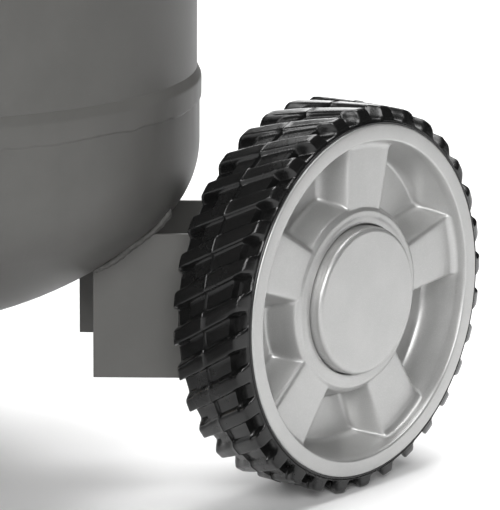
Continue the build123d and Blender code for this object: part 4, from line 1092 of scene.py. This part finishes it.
# name, place, point it faces, diameter in metres, power in watts
LAMPS = (
    ("key_light", (2.9, -2.6, 2.3), (0.2, 0.1, 0.3), 2.2, 122),
    ("left_light", (1.3, -3.6, 1.1), (0.26, 0.17, 0.13), 1.1, 38),
    ("back_light", (-0.7, 1.5, 3.3), (-0.4, 1.0, 0), 2.8, 150),
    ("top_light", (0.4, 0.0, 3.6), (0.2, 0.1, 0), 1.8, 70),
    ("far_light", (-3.4, 3.6, 1.5), (0, 0, 0.5), 3.0, 75),
)


def surroundings():
    """Soft room: dim at the horizon and bright overhead, by the height of the direction looked in."""
    world = bpy.data.worlds.new("surroundings")
    world.use_nodes = True
    nodes, links = world.node_tree.nodes, world.node_tree.links
    place = nodes.new("ShaderNodeTexCoord")
    split = nodes.new("ShaderNodeSeparateXYZ")
    ramp = nodes.new("ShaderNodeMapRange")
    for key, value in (("From Min", 0.05), ("From Max", 0.9), ("To Min", 0.22), ("To Max", 0.75)):
        ramp.inputs[key].default_value = value
    links.new(place.outputs["Generated"], split.inputs[0])
    links.new(split.outputs["Z"], ramp.inputs["Value"])
    links.new(ramp.outputs[0], nodes["Background"].inputs["Strength"])
    return world


class COMPRESSOR_OT_stage(bpy.types.Operator):
    """Makes the pale floor, the soft lights, the soft surroundings and the camera"""
    bl_idname = "compressor.stage"
    bl_label = "Stage"

    def execute(self, context):
        colours = context.scene.compressor_colours
        corners = [(x * FLOOR_REACH, y * FLOOR_REACH, 0) for x, y in ((-1, -1), (1, -1), (1, 1), (-1, 1))]
        mesh = bpy.data.meshes.new("floor")
        mesh.from_pydata(corners, [], [(0, 1, 2, 3)])
        floor = bpy.data.objects.new("floor", mesh)
        context.scene.collection.objects.link(floor)
        mesh.materials.append(studio("floor_paper", tuple(colours.floor)))
        context.scene.world = surroundings()
        context.scene.view_settings.view_transform = "Standard"
        for name, place, target, size, power in LAMPS:
            light = bpy.data.lights.new(name, "AREA")
            light.shape, light.size, light.energy = "DISK", size, power
            lamp = bpy.data.objects.new(name, light)
            lamp.location = place
            lamp.rotation_euler = (Vector(target) - Vector(place)).to_track_quat("-Z", "Y").to_euler()
            context.scene.collection.objects.link(lamp)
        camera = bpy.data.cameras.new("camera")
        camera.lens, camera.sensor_width, camera.clip_end = CAMERA_LENS, 36, 60
        eye = bpy.data.objects.new("camera", camera)
        azimuth, elevation, roll = np.radians(CAMERA_ANGLES)
        right = np.array([np.cos(azimuth), np.sin(azimuth), 0])
        back = np.array([np.sin(azimuth) * np.cos(elevation), -np.cos(azimuth) * np.cos(elevation),
                         np.sin(elevation)])
        up = np.cross(back, right)
        x_axis = np.cos(roll) * right - np.sin(roll) * up
        y_axis = np.sin(roll) * right + np.cos(roll) * up
        turn = Matrix(np.column_stack([x_axis, y_axis, back]).tolist()).to_4x4()
        eye.matrix_world = Matrix.Translation(CAMERA_PLACE) @ turn
        context.scene.collection.objects.link(eye)
        context.scene.camera = eye
        return {"FINISHED"}


class COMPRESSOR_PT_panel(bpy.types.Panel):
    """Lists the build steps in the order they run"""
    bl_label = "Compressor"
    bl_idname = "COMPRESSOR_PT_panel"
    bl_space_type = "VIEW_3D"
    bl_region_type = "UI"
    bl_category = "Compressor"

    def draw(self, context):
        for operator in OPERATORS:
            self.layout.operator(operator.bl_idname)


OPERATORS = (COMPRESSOR_OT_stage, COMPRESSOR_OT_tank, COMPRESSOR_OT_wheels, COMPRESSOR_OT_brackets,
             COMPRESSOR_OT_handle, COMPRESSOR_OT_feet, COMPRESSOR_OT_cover, COMPRESSOR_OT_pump,
             COMPRESSOR_OT_controls, COMPRESSOR_OT_gauges)
GROUPS = {"compressor_tank": TankSizes, "compressor_wheel": WheelSizes, "compressor_colours": Colours}


def register():
    for cls in (*GROUPS.values(), *OPERATORS, COMPRESSOR_PT_panel):
        bpy.utils.register_class(cls)
    for name, group in GROUPS.items():
        setattr(bpy.types.Scene, name, PointerProperty(type=group))


def unregister():
    for name in GROUPS:
        delattr(bpy.types.Scene, name)
    for cls in (COMPRESSOR_PT_panel, *reversed(OPERATORS), *reversed(GROUPS.values())):
        bpy.utils.unregister_class(cls)


def main():
    register()
    for operator in OPERATORS:
        getattr(bpy.ops.compressor, operator.bl_idname.split(".")[1])()


if __name__ == "__main__":
    main()
